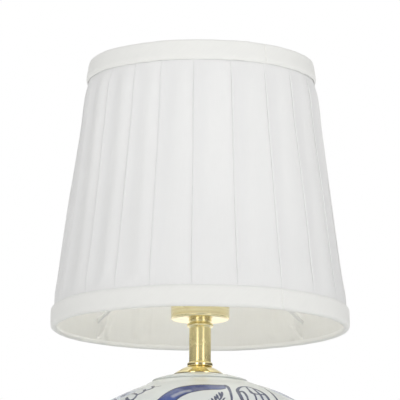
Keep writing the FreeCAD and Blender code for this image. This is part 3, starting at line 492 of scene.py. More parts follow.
give(lining_cloth, "shade_lining")
give(trim_cloth, "shade_bottom_trim", "shade_top_trim")

# ------------------------------------------------------------------ shade
Z_LOW, Z_HIGH = 273.7, 500.0
ARMS = [42.0, 138.0, 222.0, 318.0]


def cover_r(z):
    """Outer radius of the cover's cone at a height."""
    return np.interp(z, [274.9, 291.0, 482.7, 498.8], [124.0, 122.45, 95.85, 93.45])


# pleats: the azimuth of each folded edge, uneven as hand pleating is
front = [-79.6, -68.9, -50.2, -34.5, -19.6, -3.2, 14.6, 32.8, 49.7, 67.0, 84.0]
gap = (front[0] + 360.0 - front[-1]) / 12.0
back = [front[-1] + gap * k + float(rng.uniform(-1.2, 1.2)) for k in range(1, 12)]
EDGES = np.array(front + back)
PLEATS = len(EDGES)
# how far each panel swells out and sinks in between its folds (mm)
SWELL = [0.45, 1.6, 1.7, 1.4, 0.8, 0.25, 0.20, 0.35, 0.45, 0.40, 0.3] + [float(v) for v in rng.uniform(0.4, 1.5, len(back))]

zs = np.concatenate([np.linspace(275.2, 291.0, 7), np.linspace(293.0, 480.5, 62), np.linspace(482.7, 498.3, 7)])
sway = Wave(3, 1, 3, 260.0)
lift_noise = Wave(5, 2, 7, 130.0)
puff_noise = Wave(8, 5, 14, 110.0)
ripple = Wave(11, 9, 26, 48.0)


def pleat_row(z):
    """Azimuth (deg) and radial offset (mm) along the pleated sheet at one height."""
    r = float(cover_r(z))
    free = float(sm(z, 289.0, 305.0) * (1.0 - sm(z, 468.0, 485.0)))      # 0 where the trims hold it flat
    loose = 0.25 + 0.75 * free
    t = (z - Z_LOW) / (Z_HIGH - Z_LOW)
    az, off, flat = [], [], []
    run = 0.0
    for i in range(PLEATS):
        a = EDGES[i]
        b = EDGES[(i + 1) % PLEATS] + (360.0 if i == PLEATS - 1 else 0.0)
        sw = lambda e: float(sway(e * 3.1 + 11.0, z)) * 0.28 * free + (t - 0.5) * 0.5 * math.sin(e * 2.3)
        a2, b2 = a + sw(a), b + sw(b if i < PLEATS - 1 else EDGES[0])
        deg = math.degrees(1.0 / r)
        w_mm = (b2 - a2) / deg
        j = (i + 1) % PLEATS
        next_w = ((EDGES[(j + 1) % PLEATS] - EDGES[j]) % 360.0) / deg
        tuck = min(8.2 + 4.6 * t + 1.2 * math.sin(i * 2.7), 0.58 * w_mm, 0.55 * next_w)
        cover_swell = SWELL[j] * free * (1.0 + 0.30 * float(puff_noise(EDGES[j] - 7.0, z * 0.8)))

        def under(mm, depth):
            # the folded-in cloth lies along the panel that covers it
            q = mm / next_w
            return (b2 + mm * deg, depth * loose + cover_swell * math.sin(2.0 * math.pi * (q - 0.47)) * math.sin(math.pi * q) ** 0.8)

        right = float(sm(math.sin(math.radians(a)), 0.35, 0.8))              # pressed flatter on this side
        lift = (0.34 + 0.42 * free * (1.0 + 0.45 * float(lift_noise(a, z)))) * loose * (1.0 - 0.35 * right)
        lift = max(lift, 0.12)
        puff = 0.45 * free * (1.0 + 0.5 * float(puff_noise(a + 4.0, z)))
        swell = SWELL[i] * free * (1.0 + 0.30 * float(puff_noise(a - 7.0, z * 0.8)))
        # a: folded edge, from the return layer behind, round the nose, to the outer panel; the nose rests on the panel below it
        seq = [(a2 + 1.5 * deg, -0.42 * loose), (a2 + 0.25 * deg, -0.30 * loose), (a2 - 0.40 * deg, -0.24 * loose),
               (a2 - 0.66 * deg, -0.08 * loose + 0.10 * lift), (a2 - 0.58 * deg, 0.46 * lift), (a2 - 0.22 * deg, 0.84 * lift),
               (a2 + 0.40 * deg, 1.02 * lift + 0.03), (a2 + 1.2 * deg, 1.00 * lift + 0.04)]
        for s in (0.055, 0.08, 0.11, 0.15, 0.20, 0.28, 0.38, 0.49, 0.60, 0.70, 0.79, 0.87, 0.94, 1.0):
            d = lift * (0.62 * math.exp(-max(s * w_mm - 1.2, 0.0) / 1.9) + 0.34 * (1.0 - s) ** 1.25) + puff * 2.0 * s * (1.0 - s) - 0.30 * loose * s
            d += swell * math.sin(2.0 * math.pi * (s - 0.47)) * math.sin(math.pi * s) ** 0.8
            seq.append((a2 + (b2 - a2) * s, d + 0.05 * free * float(ripple(a2 + (b2 - a2) * s, z))))
        # under the next panel, to the inner fold and back
        seq += [under(0.18 * tuck, -0.66), under(0.35 * tuck, -0.76), under(0.6 * tuck, -0.84), under(0.85 * tuck, -0.88), under(tuck, -0.78),
                under(1.02 * tuck, -0.66), under(0.85 * tuck, -0.56), under(0.6 * tuck, -0.52), under(0.35 * tuck, -0.50)]
        for p in seq:
            az.append(p[0])
            off.append(p[1])
    return np.array(az), np.array(off)


rows, uvs = [], []
for z in zs:
    az, off = pleat_row(float(z))
    r = float(cover_r(z))
    free = float(sm(z, 289.0, 303.0) * (1.0 - sm(z, 470.0, 484.0)))
    # drawn in just under the top band, fuller below it
    pull = -0.12 * bell(z, 479.5, 7.0) + 0.6 * bell(z, 463.0, 22.0) + 0.5 * bell(z, 301.0, 15.0)
    slack = 0.35 * free * Wave(13, 2, 5, 180.0)(az, z)
    rr = r - 0.25 - (1.0 - free) * 0.25 + off + pull + slack
    P = around(rr, z, az)
    rows.append(P)
rows = np.array(rows)
# cloth coordinates in metres, from the sheet's own length along the middle row
mid = rows[len(zs) // 2]
step = np.linalg.norm(np.diff(np.vstack([mid, mid[:1]]), axis=0), axis=1)
cum = np.concatenate([[0.0], np.cumsum(step)])
uv = np.zeros((len(zs), rows.shape[1] + 1, 2))
uv[:, :, 0] = cum[None, :] * MM
uv[:, :, 1] = (zs * MM)[:, None]
cover = grid("pleated_cover", rows, uv=uv)
cover.data.materials.append(cover_cloth)
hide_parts("shade_cover")
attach(cover, "shade")

# lining: tight round the frame, with a soft tuck at each arm
NA = 720
az = np.arange(NA) * 360.0 / NA
LINE = np.array([(120.0, 275.0), (119.8, 276.6), (119.3, 279.6), (118.75, 283.0), (118.1, 287.7), (117.5, 291.5),
                 (112.2, 329.0), (105.4, 382.0), (98.6, 433.0), (91.95, 482.8), (90.75, 489.5), (90.0, 495.5), (90.0, 498.2)])
lz = np.concatenate([np.linspace(275.0, 300.0, 51), np.linspace(301.0, 334.0, 34), np.linspace(337.0, 498.2, 44)])
lr = np.interp(lz, LINE[:, 1], LINE[:, 0])
rib_at = [-3.8 + 60.0 * k for k in range(6)]
hang = Wave(17, 3, 8, 200.0)
fine = Wave(19, 12, 34, 60.0)
lrows = []
for z, r in zip(lz, lr):
    free = float(sm(z, 281.0, 300.0) * (1.0 - sm(z, 462.0, 484.0)))
    d = free * (0.30 * hang(az, z) + 0.10 * fine(az, z))
    for a in rib_at:
        da = wrap(az - a) * math.radians(1.0) * r
        d = d + free * 0.25 * bell(da, 0, 9.0)
    for a, depth in ((205.3, 1.0), (146.8, 0.8), (34.0, 0.7), (300.0, 0.8)):
        # faint upright pulls in the cloth
        da = wrap(az - a) * math.radians(1.0) * r
        d = d + float(sm(z, 279.0, 287.0) * (1.0 - sm(z, 380.0, 430.0))) * depth * (bell(da, -3.0, 7.0) * 0.7 - bell(da, 4.0, 8.0) * 0.5)
    for k, a in enumerate(ARMS):
        # the wire pushes the cloth in below its slit, and a tuck opens above it
        da = wrap(az - a) * math.radians(1.0) * r
        below = float(sm(z, 276.5, 281.0) * (1.0 - sm(z, 289.0, 292.5)))
        d = d - 0.85 * below * bell(da, 0.0, 3.4)
        lean = (z - 289.0) * (-0.22 if a > 180 else 0.22)
        above = float(sm(z, 287.5, 291.0) * (1.0 - sm(z, 303.0, 322.0)))
        width = 2.2 + 0.26 * max(z - 288.0, 0.0)
        side = -1.0 if a > 180 else 1.0
        d = d + above * (1.3 * bell(da, -side * width * 0.7 + lean, width) - 0.25 * bell(da, side * width * 0.6 + lean, width))
        # creases that run down from the slit
        for at, slope, deep, top in ((0.6, 0.75, 0.85, 291.0), (6.5, 0.35, 0.5, 289.0)):
            line = -side * (at + slope * max(291.0 - z, 0.0))
            d = d + deep * float(sm(z, 277.5, 280.5) * (1.0 - sm(z, top - 1.0, top + 2.0))) * bell(da, line, 2.2)
    lrows.append(around(r + d, z, az))
uvl = np.zeros((len(lz), NA + 1, 2))
uvl[:, :, 0] = (np.arange(NA + 1) / NA * 2 * math.pi * 0.1055)[None, :]
uvl[:, :, 1] = (lz * MM)[:, None]
lining = grid("shade_inner_lining", np.array(lrows), uv=uvl, flip=True)
lining.data.materials.append(lining_cloth)
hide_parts("shade_lining")
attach(lining, "shade")


def band(name, line, half, seam, seam_high, wav, edge_rows, rise=0.0):
    """A folded bias band: the section line (r, z) is given thickness and turned, with an overlapped seam."""
    if not isinstance(half, float):
        half = np.interp(np.arange((len(line) - 1) * 6 + 1) / 6.0, np.arange(len(half)), half)
    loop = thick_loop(spline(line, 6), half)
    a = np.sort(np.concatenate([np.arange(900) * 0.4, (seam + np.linspace(-1.5, 1.5, 31) + 0.013) % 360.0]))
    n = len(a)
    r0 = float(np.mean(loop[:, 0]))
    da = wrap(a - seam) * math.radians(1.0) * r0
    step = np.where(da > 0, sm(da, 0.0, 0.45) * (1.0 - sm(da, 5.0, 17.0)), 0.0)
    groove = bell(da, -0.55, 0.85)
    w1, w2 = Wave(wav, 4, 11, 60.0), Wave(wav + 1, 16, 48, 20.0)
    pts = []
    zc = float(np.mean(loop[:, 1]))
    for r, z in loop:
        outer = float(sm(r - np.interp(z, edge_rows[0], edge_rows[1]), -1.6, 0.2))
        swell = outer * (seam_high * step - 0.62 * groove)
        soft = 0.16 * w1(a, z) + 0.07 * w2(a, z)
        zz = z + 0.10 * w1(a + 37.0, zc) + 0.05 * w2(a + 11.0, zc)
        zz = zz + rise * float(sm(z, zc + 3.0, zc + 7.0)) * bell(wrap(a - seam + 10.0), 0.0, 3.2)
        pts.append(around(r + swell + soft * (0.4 + 0.6 * outer), zz, a))
    P = np.array(pts)
    length = np.concatenate([[0.0], np.cumsum(np.linalg.norm(np.diff(np.vstack([loop, loop[:1]]), axis=0), axis=1))]) * MM
    u = np.zeros((len(loop) + 1, n + 1, 2))
    u[:, :, 0] = (np.append(a, 360.0) / 360.0 * 2 * math.pi * r0 * MM)[None, :]
    u[:, :, 1] = length[:, None]
    # cut on the bias: the threads run at 45 degrees
    v = u.copy()
    v[:, :, 0] = (u[:, :, 0] + u[:, :, 1]) * 0.7071
    v[:, :, 1] = (u[:, :, 1] - u[:, :, 0]) * 0.7071
    ob = grid(name, P, close_u=True, close_v=True, uv=v)
    ob.data.materials.append(trim_cloth)
    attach(ob, "shade")
    return ob


low_line = [(122.55, 290.9), (123.45, 290.0), (124.15, 288.2), (124.35, 284.6), (124.5, 280.8), (124.55, 277.4), (124.3, 275.6),
            (123.4, 274.4), (122.0, 274.0), (120.7, 274.2), (119.95, 274.9), (119.6, 275.9), (119.42, 276.9)]
low_half = [0.20, 0.36] + [0.50] * 8 + [0.42, 0.30, 0.16]
bottom_trim = band("bottom_band", low_line, low_half, 32.3, 0.55, 23, ([273.0, 292.0], [124.9, 124.3]))
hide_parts("shade_bottom_trim")
high_line = [(95.85, 483.0), (96.35, 484.1), (96.60, 486.4), (96.05, 490.0), (95.35, 494.0), (94.85, 497.0), (94.35, 498.7),
             (93.4, 499.45), (92.2, 499.5), (91.0, 499.2), (90.2, 498.2), (89.75, 496.6), (89.45, 494.2)]
top_trim = band("top_band", high_line, [0.18, 0.36] + [0.52] * 11, 33.7, 0.5, 29, ([482.0, 500.0], [97.0, 94.7]), 0.45)
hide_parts("shade_top_trim")

# ------------------------------------------------------------------ jar
JAR_Z = 25.0
OUT = [(56.6, 0.8, 0.8, 1), (57.4, 0.0), (64.18, 0.0, 0.9, 1), (65.08, 0.9), (65.08, 5.0, 11.4, -1), (66.5, 10.5, 300.0, 1),
       (104.0, 155.7, 25.74, 1), (99.448, 170.316, 54.61, 1), (81.544, 186.748, 130.55, 1), (36.0, 202.479)]
FINE = 1.0
outer = profile(OUT, 0.76 * FINE)
REST = [(36.0, 202.479), (36.0, 203.2), (30.0, 203.2), (30.0, 199.2, 3.0, 1), (35.268, 197.533, 125.55, -1), (79.068, 182.404, 49.61, -1),
        (95.332, 167.477, 20.74, -1), (99.0, 155.7, 295.0, -1), (63.8, 16.0, 6.5, -1), (58.0, 11.0), (6.2, 11.0), (6.2, 4.5), (54.6, 4.5, 2.0, -1),
        (56.6, 2.5), (56.6, 0.8)]
rest = profile(REST, 4.0)[:-1]
prof = np.vstack([outer[:-1], rest])
NJ = 880
jaz = np.arange(NJ) * 360.0 / NJ - 180.0
_sh = outer[int(np.argmax(outer[:, 0])):][::-1]          # the shoulder, from the mouth outwards


def unevenness(r, y, az):
    """How far the hand-thrown shoulder stands above or below the true profile (mm), r and y along the profile."""
    on = sm(y, 150.0, 164.0) * (y < 202.9)
    left = np.maximum(0.0, -np.sin(np.radians(az))) ** 1.1
    low = -3.1 * np.clip((r - 33.0) / 34.0, 0, 1) * sm(r, 40.0, 47.0) - 0.7 * np.clip((r - 67.0) / 20.0, 0, 1)
    own = np.interp(r, _sh[:, 0], _sh[:, 1])
    seat = np.where(r <= 40.2, 203.12 - own, (203.12 - np.interp(40.2, _sh[:, 0], _sh[:, 1])) * (1.0 - sm(r, 40.2, 54.0)))
    return on * (low * left + np.where(r >= 35.99, seat, 0.0))


seg = np.linalg.norm(np.diff(prof, axis=0), axis=1)
arc = np.concatenate([[0.0], np.cumsum(seg)])
n_out = len(outer) - 1
A, T = np.meshgrid(jaz, arc[:n_out])
Rr = np.repeat(prof[:n_out, 0:1], NJ, 1)
Zr = np.repeat(prof[:n_out, 1:2], NJ, 1) + JAR_Z
ink_f = np.full(A.shape, -5.0)
wash_f = np.zeros(A.shape)
pool_f = np.zeros(A.shape)
T_TOP = arc[n_out]                                   # arc length at the rim
row_z = prof[:n_out, 1] + JAR_Z


def t_of(z):
    """Arc length along the outer profile at a height."""
    return float(np.interp(z, row_z[2:], arc[2:n_out]))


class Patch:
    """The part of the jar's surface near one point, with flat coordinates in mm: x to the right, y up."""

    def __init__(self, az0, t0, reach):
        rows_ = np.where(np.abs(arc[:n_out] - t0) < reach)[0]
        self.ok = len(rows_) > 1
        if not self.ok:
            return
        self.r0, self.r1 = rows_[0], rows_[-1] + 1
        rmin = max(float(prof[self.r0:self.r1, 0].min()), 30.0)
        half = min(180.0, math.degrees(reach / rmin))
        self.cols = np.where(np.abs(wrap(jaz - az0)) <= half)[0]
        self.x = wrap(jaz[self.cols][None, :] - az0) * math.radians(1.0) * prof[self.r0:self.r1, 0:1]
        self.y = np.repeat((arc[self.r0:self.r1] - t0)[:, None], len(self.cols), 1)

    def ink(self, sd):
        """sd: distance inside a line, in mm, positive inside."""
        view = ink_f[self.r0:self.r1]
        view[:, self.cols] = np.maximum(view[:, self.cols], sd)

    def wash(self, s):
        view = wash_f[self.r0:self.r1]
        view[:, self.cols] = np.maximum(view[:, self.cols], s)

    def pool(self, s):
        view = pool_f[self.r0:self.r1]
        view[:, self.cols] = np.maximum(view[:, self.cols], s)

    def erase(self, mask):
        for f, v in ((ink_f, -5.0), (wash_f, 0.0), (pool_f, 0.0)):
            view = f[self.r0:self.r1]
            view[:, self.cols] = np.where(mask, v, view[:, self.cols])


def stroke_sd(x, y, pts, half):
    """Distance inside a brush stroke that follows pts with half-widths half."""
    pts = np.asarray(pts, float)
    half = np.broadcast_to(np.asarray(half, float), (len(pts),))
    best = np.full(x.shape, -9.0)
    for i in range(len(pts) - 1):
        a, b = pts[i], pts[i + 1]
        d = b - a
        L = max(float(d @ d), 1e-9)
        t = np.clip(((x - a[0]) * d[0] + (y - a[1]) * d[1]) / L, 0, 1)
        dist = np.hypot(x - a[0] - t * d[0], y - a[1] - t * d[1])
        best = np.maximum(best, half[i] + (half[i + 1] - half[i]) * t - dist)
    return best


def curve(points, per=7):
    return spline(points, per)


def rot(points, deg, at=(0.0, 0.0), scale=1.0, mirror=False):
    p = np.asarray(points, float) * scale
    if mirror:
        p = p * np.array([-1.0, 1.0])
    a = math.radians(deg)
    m = np.array([[math.cos(a), -math.sin(a)], [math.sin(a), math.cos(a)]])
    return p @ m.T + np.asarray(at, float)


def brush(patch, points, widths, dark=True, line=None):
    """One loaded brush stroke: full of colour, with a darker edge."""
    pts = curve(points)
    w = np.interp(np.linspace(0, 1, len(pts)), np.linspace(0, 1, len(widths)), widths)
    sd = stroke_sd(patch.x, patch.y, pts, w)
    body = sm(sd, -0.25, 0.5)
    if dark:
        patch.pool(body * (0.80 + 0.20 * np.exp(-np.clip(sd, 0, 9) / 1.1)))
    else:
        patch.wash(body * (0.62 + 0.38 * np.exp(-np.clip(sd, 0, 9) / 1.2)))
    if line is not None:
        patch.ink(line - np.abs(sd))
    return sd


def outline_of(patch, points, width):
    pts = curve(points)
    patch.ink(stroke_sd(patch.x, patch.y, pts, width))


def leaf(patch, at, deg, size, mirror=False, filled=True):
    """An outlined leaf with a vein, one side washed."""
    up = [(0, 0), (0.16, 0.20), (0.46, 0.27), (0.78, 0.17), (1.0, 0.0)]
    dn = [(0, 0), (0.18, -0.15), (0.5, -0.21), (0.8, -0.13), (1.0, 0.0)]
    U = rot(up, deg, at, size, mirror)
    D = rot(dn, deg, at, size, mirror)
    outline_of(patch, U, 0.50)
    outline_of(patch, D, 0.50)
    vein = rot([(0, 0), (0.35, 0.03), (0.7, 0.02), (0.97, 0.0)], deg, at, size, mirror)
    outline_of(patch, vein, 0.36)
    for s in (0.25, 0.42, 0.59, 0.76):
        for q, k in ((1, 0.17), (-1, 0.12)):
            rib = rot([(s, 0.02), (s + 0.09, q * k * (1.0 - abs(s - 0.45) * 0.9))], deg, at, size, mirror)
            patch.ink(stroke_sd(patch.x, patch.y, rib, [0.30, 0.18]))
    mid_line = rot([(0.06, 0.04), (0.3, 0.12), (0.6, 0.13), (0.9, 0.04)], deg, at, size, mirror)
    sd = stroke_sd(patch.x, patch.y, curve(mid_line), np.interp(np.linspace(0, 1, 22), [0, .4, .7, 1], [0.3, 0.085 * size, 0.07 * size, 0.3]))
    if filled:
        patch.wash(sm(sd, -0.4, 1.2) * 0.85)


def dash_leaf(patch, at, deg, size, bend=0.25, fat=0.13):
    """A leaf done as a single dark stroke."""
    pts = rot([(0, 0), (0.35, bend * 0.7), (0.7, bend * 0.75), (1.0, bend * 0.25)], deg, at, size)
    brush(patch, pts, [0.35, fat * size, fat * size * 0.9, 0.25])


def peony(patch, at, size, turn=0.0):
    """A round many-petalled flower: scalloped outlines in rings, each petal shaded towards its foot."""
    x, y = patch.x - at[0], patch.y - at[1]
    rho = np.hypot(x, y) / size
    th = np.arctan2(y, x) + math.radians(turn)
    patch.erase(rho < 1.02)
    rings = [(0.98, 9, 0.0), (0.70, 7, 0.35), (0.45, 5, 0.1)]
    inner = 0.0
    for R, n, ph in rings:
        lobe = np.abs(np.sin((th + ph) * n / 2.0))
        edge = R * (0.80 + 0.20 * lobe ** 0.45)
        if R == rings[0][0]:
            patch.erase(rho < edge)
    for k, (R, n, ph) in enumerate(rings):
        lobe = np.abs(np.sin((th + ph) * n / 2.0))
        edge = R * (0.80 + 0.20 * lobe ** 0.45)
        nxt = rings[k + 1][0] * 0.78 if k + 1 < len(rings) else 0.16
        sd = 0.52 - np.abs(rho - edge) * size
        inside = rho < edge
        if k > 0:
            view = wash_f[patch.r0:patch.r1]
            view[:, patch.cols] = np.where(inside, 0.0, view[:, patch.cols])
            view = ink_f[patch.r0:patch.r1]
            view[:, patch.cols] = np.where(inside, -5.0, view[:, patch.cols])
        patch.ink(sd)
        # petals parted by short lines
        part = np.abs(np.sin((th + ph) * n / 2.0)) * rho * size * 2.0 / n
        cut = 0.42 - part
        cut = np.where((rho > nxt * 1.02) & (rho < edge), cut, -5.0)
        patch.ink(cut)
        grad = np.clip((edge - rho) / max(R - nxt, 1e-3), 0, 1)
        patch.wash(np.where(inside, 0.12 + 0.80 * grad ** 1.3, 0.0) * sm(edge - rho, 0.0, 0.03))
        comb = np.abs(((th + ph) * n * 1.5 / math.pi) % 1.0 - 0.5) * 2 * math.pi * rho * size / (n * 3.0)
        lines = np.where((rho < edge - 0.055) & (rho > edge - 0.17) & (lobe > 0.45), 0.27 - comb * 0.9, -5.0)
        patch.ink(lines)
    # heart of the flower
    heart = 0.17 - rho
    patch.pool(sm(heart * size, -0.3, 0.5) * 0.95)
    for k in range(9):
        a = k * 2 * math.pi / 9
        cx, cy = 0.235 * size * math.cos(a), 0.235 * size * math.sin(a)
        patch.ink(0.62 - np.hypot(x - cx, y - cy))


def scroll(patch, at, deg, size, mirror=False, width=0.7):
    """A curling tendril."""
    th = np.linspace(0, 2.1 * math.pi, 30)
    r = 0.5 * np.exp(-0.26 * th)
    p = np.stack([0.5 - r * np.cos(th), r * np.sin(th)], -1)
    pts = rot(p, deg, at, size, mirror)
    w = np.linspace(width, 0.38, len(pts))
    patch.ink(stroke_sd(patch.x, patch.y, pts, w))
    end = pts[-1]
    patch.ink(1.0 - np.hypot(patch.x - end[0], patch.y - end[1]))


# bands round the foot and the rim
full = Patch(0.0, (arc[n_out]) / 2.0, 4000.0)
for z, w in ((33.5, 0.55), (36.0, 0.95), (64.0, 0.55), (66.2, 0.9), (68.6, 0.5)):
    full.ink(w - np.abs(full.y + arc[n_out] / 2.0 - t_of(z)))
for off, w in ((82.0, 0.6), (84.6, 1.0)):
    full.ink(w - np.abs(full.y + arc[n_out] / 2.0 - (T_TOP - off)))
# lappets standing on the foot band
NL = 24
for k in range(NL):
    a0 = k * 360.0 / NL
    t0 = t_of(37.2)
    p = Patch(a0, t0 + 13.0, 17.0)
    wl = math.radians(360.0 / NL) * float(np.interp(50.0, row_z[2:], prof[2:n_out, 0])) * 0.5
    y0 = -13.0
    edge = [(-wl * 0.92, y0), (-wl * 0.93, y0 + 13), (-wl * 0.55, y0 + 20.0), (0, y0 + 24.3), (wl * 0.55, y0 + 20.0), (wl * 0.93, y0 + 13), (wl * 0.92, y0)]
    outline_of(p, edge, 0.5)
    inner_edge = [(-wl * 0.62, y0 + 1), (-wl * 0.62, y0 + 11.5), (-wl * 0.34, y0 + 16.5), (0, y0 + 19.6), (wl * 0.34, y0 + 16.5), (wl * 0.62, y0 + 11.5), (wl * 0.62, y0 + 1)]
    sd = stroke_sd(p.x, p.y, curve(inner_edge), 0.85)
    p.wash(sm(sd, -0.3, 0.5) * 0.9)
    brush(p, [(0, y0 + 2.0), (0, y0 + 7.0), (0, y0 + 12.5)], [0.6, 2.0, 0.4])
    for s in (-1, 1):
        brush(p, [(s * 0.9, y0 + 2.4), (s * 2.9, y0 + 5.2), (s * 3.1, y0 + 8.6)], [0.5, 0.95, 0.3])

# belly: three large flowers with leaves and a winding stem
def garland(a0, flip):
    s = -1.0 if flip else 1.0
    t0 = t_of(132.0)
    p = Patch(a0, t0, 78.0)
    stem = [(-62 * s, -26), (-44 * s, -41), (-22 * s, -38), (-4 * s, -30), (14 * s, -36), (33 * s, -44), (52 * s, -34), (66 * s, -20)]
    outline_of(p, stem, 0.85)
    for c in (((-44 * s, -41), (-50 * s, -52), (-40 * s, -58)), ((33 * s, -44), (41 * s, -53), (36 * s, -60)), ((-4 * s, -30), (-3 * s, -25), (0, -18))):
        outline_of(p, list(c), 0.6)
    leaf(p, (-22 * s, -39), -60 if not flip else -120, 21.0)
    leaf(p, (-8 * s, -33), -118 if not flip else -62, 19.0)
    leaf(p, (16 * s, -38), -70 if not flip else -110, 20.0)
    leaf(p, (33 * s, -42), 60 if not flip else 120, 23.0)
    leaf(p, (-40 * s, -38), 108 if not flip else 72, 22.0)
    leaf(p, (52 * s, -33), -100 if not flip else -80, 21.0)
    dash_leaf(p, (-52 * s, -34), 150 if not flip else 30, 14.0)
    dash_leaf(p, (46 * s, -36), -55 if not flip else -125, 13.0)
    dash_leaf(p, (-30 * s, -41), -128 if not flip else -52, 12.0)
    scroll(p, (-40 * s, -58), 200 if not flip else -20, 9.0, flip)
    scroll(p, (36 * s, -60), -20 if not flip else 200, 9.0, flip)
    # smaller buds each side of the flower, on curved stalks
    outline_of(p, [(33 * s, -43), (44 * s, -22), (40 * s, -4), (43 * s, 10)], 0.65)
    outline_of(p, [(-40 * s, -40), (-50 * s, -16), (-44 * s, 6), (-46 * s, 20)], 0.65)
    leaf(p, (43 * s, -14), 25 if not flip else 155, 20.0)
    leaf(p, (-47 * s, -8), 160 if not flip else 20, 20.0)
    leaf(p, (41 * s, 2), 150 if not flip else 30, 15.0)
    leaf(p, (-45 * s, 12), 32 if not flip else 148, 14.0)
    dash_leaf(p, (43 * s, 10), 60 if not flip else 120, 12.0)
    dash_leaf(p, (43 * s, 10), 118 if not flip else 62, 12.0)
    dash_leaf(p, (43 * s, 10), 88, 14.0, 0.05, 0.16)
    dash_leaf(p, (-46 * s, 20), 70 if not flip else 110, 11.0)
    dash_leaf(p, (-46 * s, 20), 112 if not flip else 68, 12.0)
    peony(p, (0.0, 4.0), 27.0, 12.0 if not flip else 40.0)


for k in range(3):
    garland(12.0 + 120.0 * k, k % 2 == 1)
    # a spray between the flowers
    p = Patch(72.0 + 120.0 * k, t_of(132.0), 66.0)
    outline_of(p, [(0, -44), (3, -22), (-2, 0), (2, 22)], 0.6)
    for y, q in ((-34, 1), (-24, -1), (-12, 1), (-2, -1), (10, 1)):
        leaf(p, (0, y), 40 if q > 0 else 140, 15.0, filled=(q > 0))
    for d in (50, 90, 130):
        dash_leaf(p, (2, 22), d, 10.0, 0.1, 0.15)

# shoulder: three times round, a broad dark crescent with a comb under it, cloud scallops before it and a veined leaf after it
def poly_sd(x, y, pts):
    """Distance inside a closed outline (mm), negative outside."""
    pts = np.asarray(pts, float)
    best = np.full(x.shape, 99.0)
    odd = np.zeros(x.shape, bool)
    for a, b in zip(pts, np.roll(pts, -1, axis=0)):
        d = b - a
        t = np.clip(((x - a[0]) * d[0] + (y - a[1]) * d[1]) / max(float(d @ d), 1e-9), 0, 1)
        best = np.minimum(best, np.hypot(x - a[0] - t * d[0], y - a[1] - t * d[1]))
        if abs(d[1]) > 1e-9:
            cross = ((a[1] > y) != (b[1] > y)) & (x < a[0] + d[0] * (y - a[1]) / d[1])
            odd ^= cross
    return np.where(odd, best, -best)


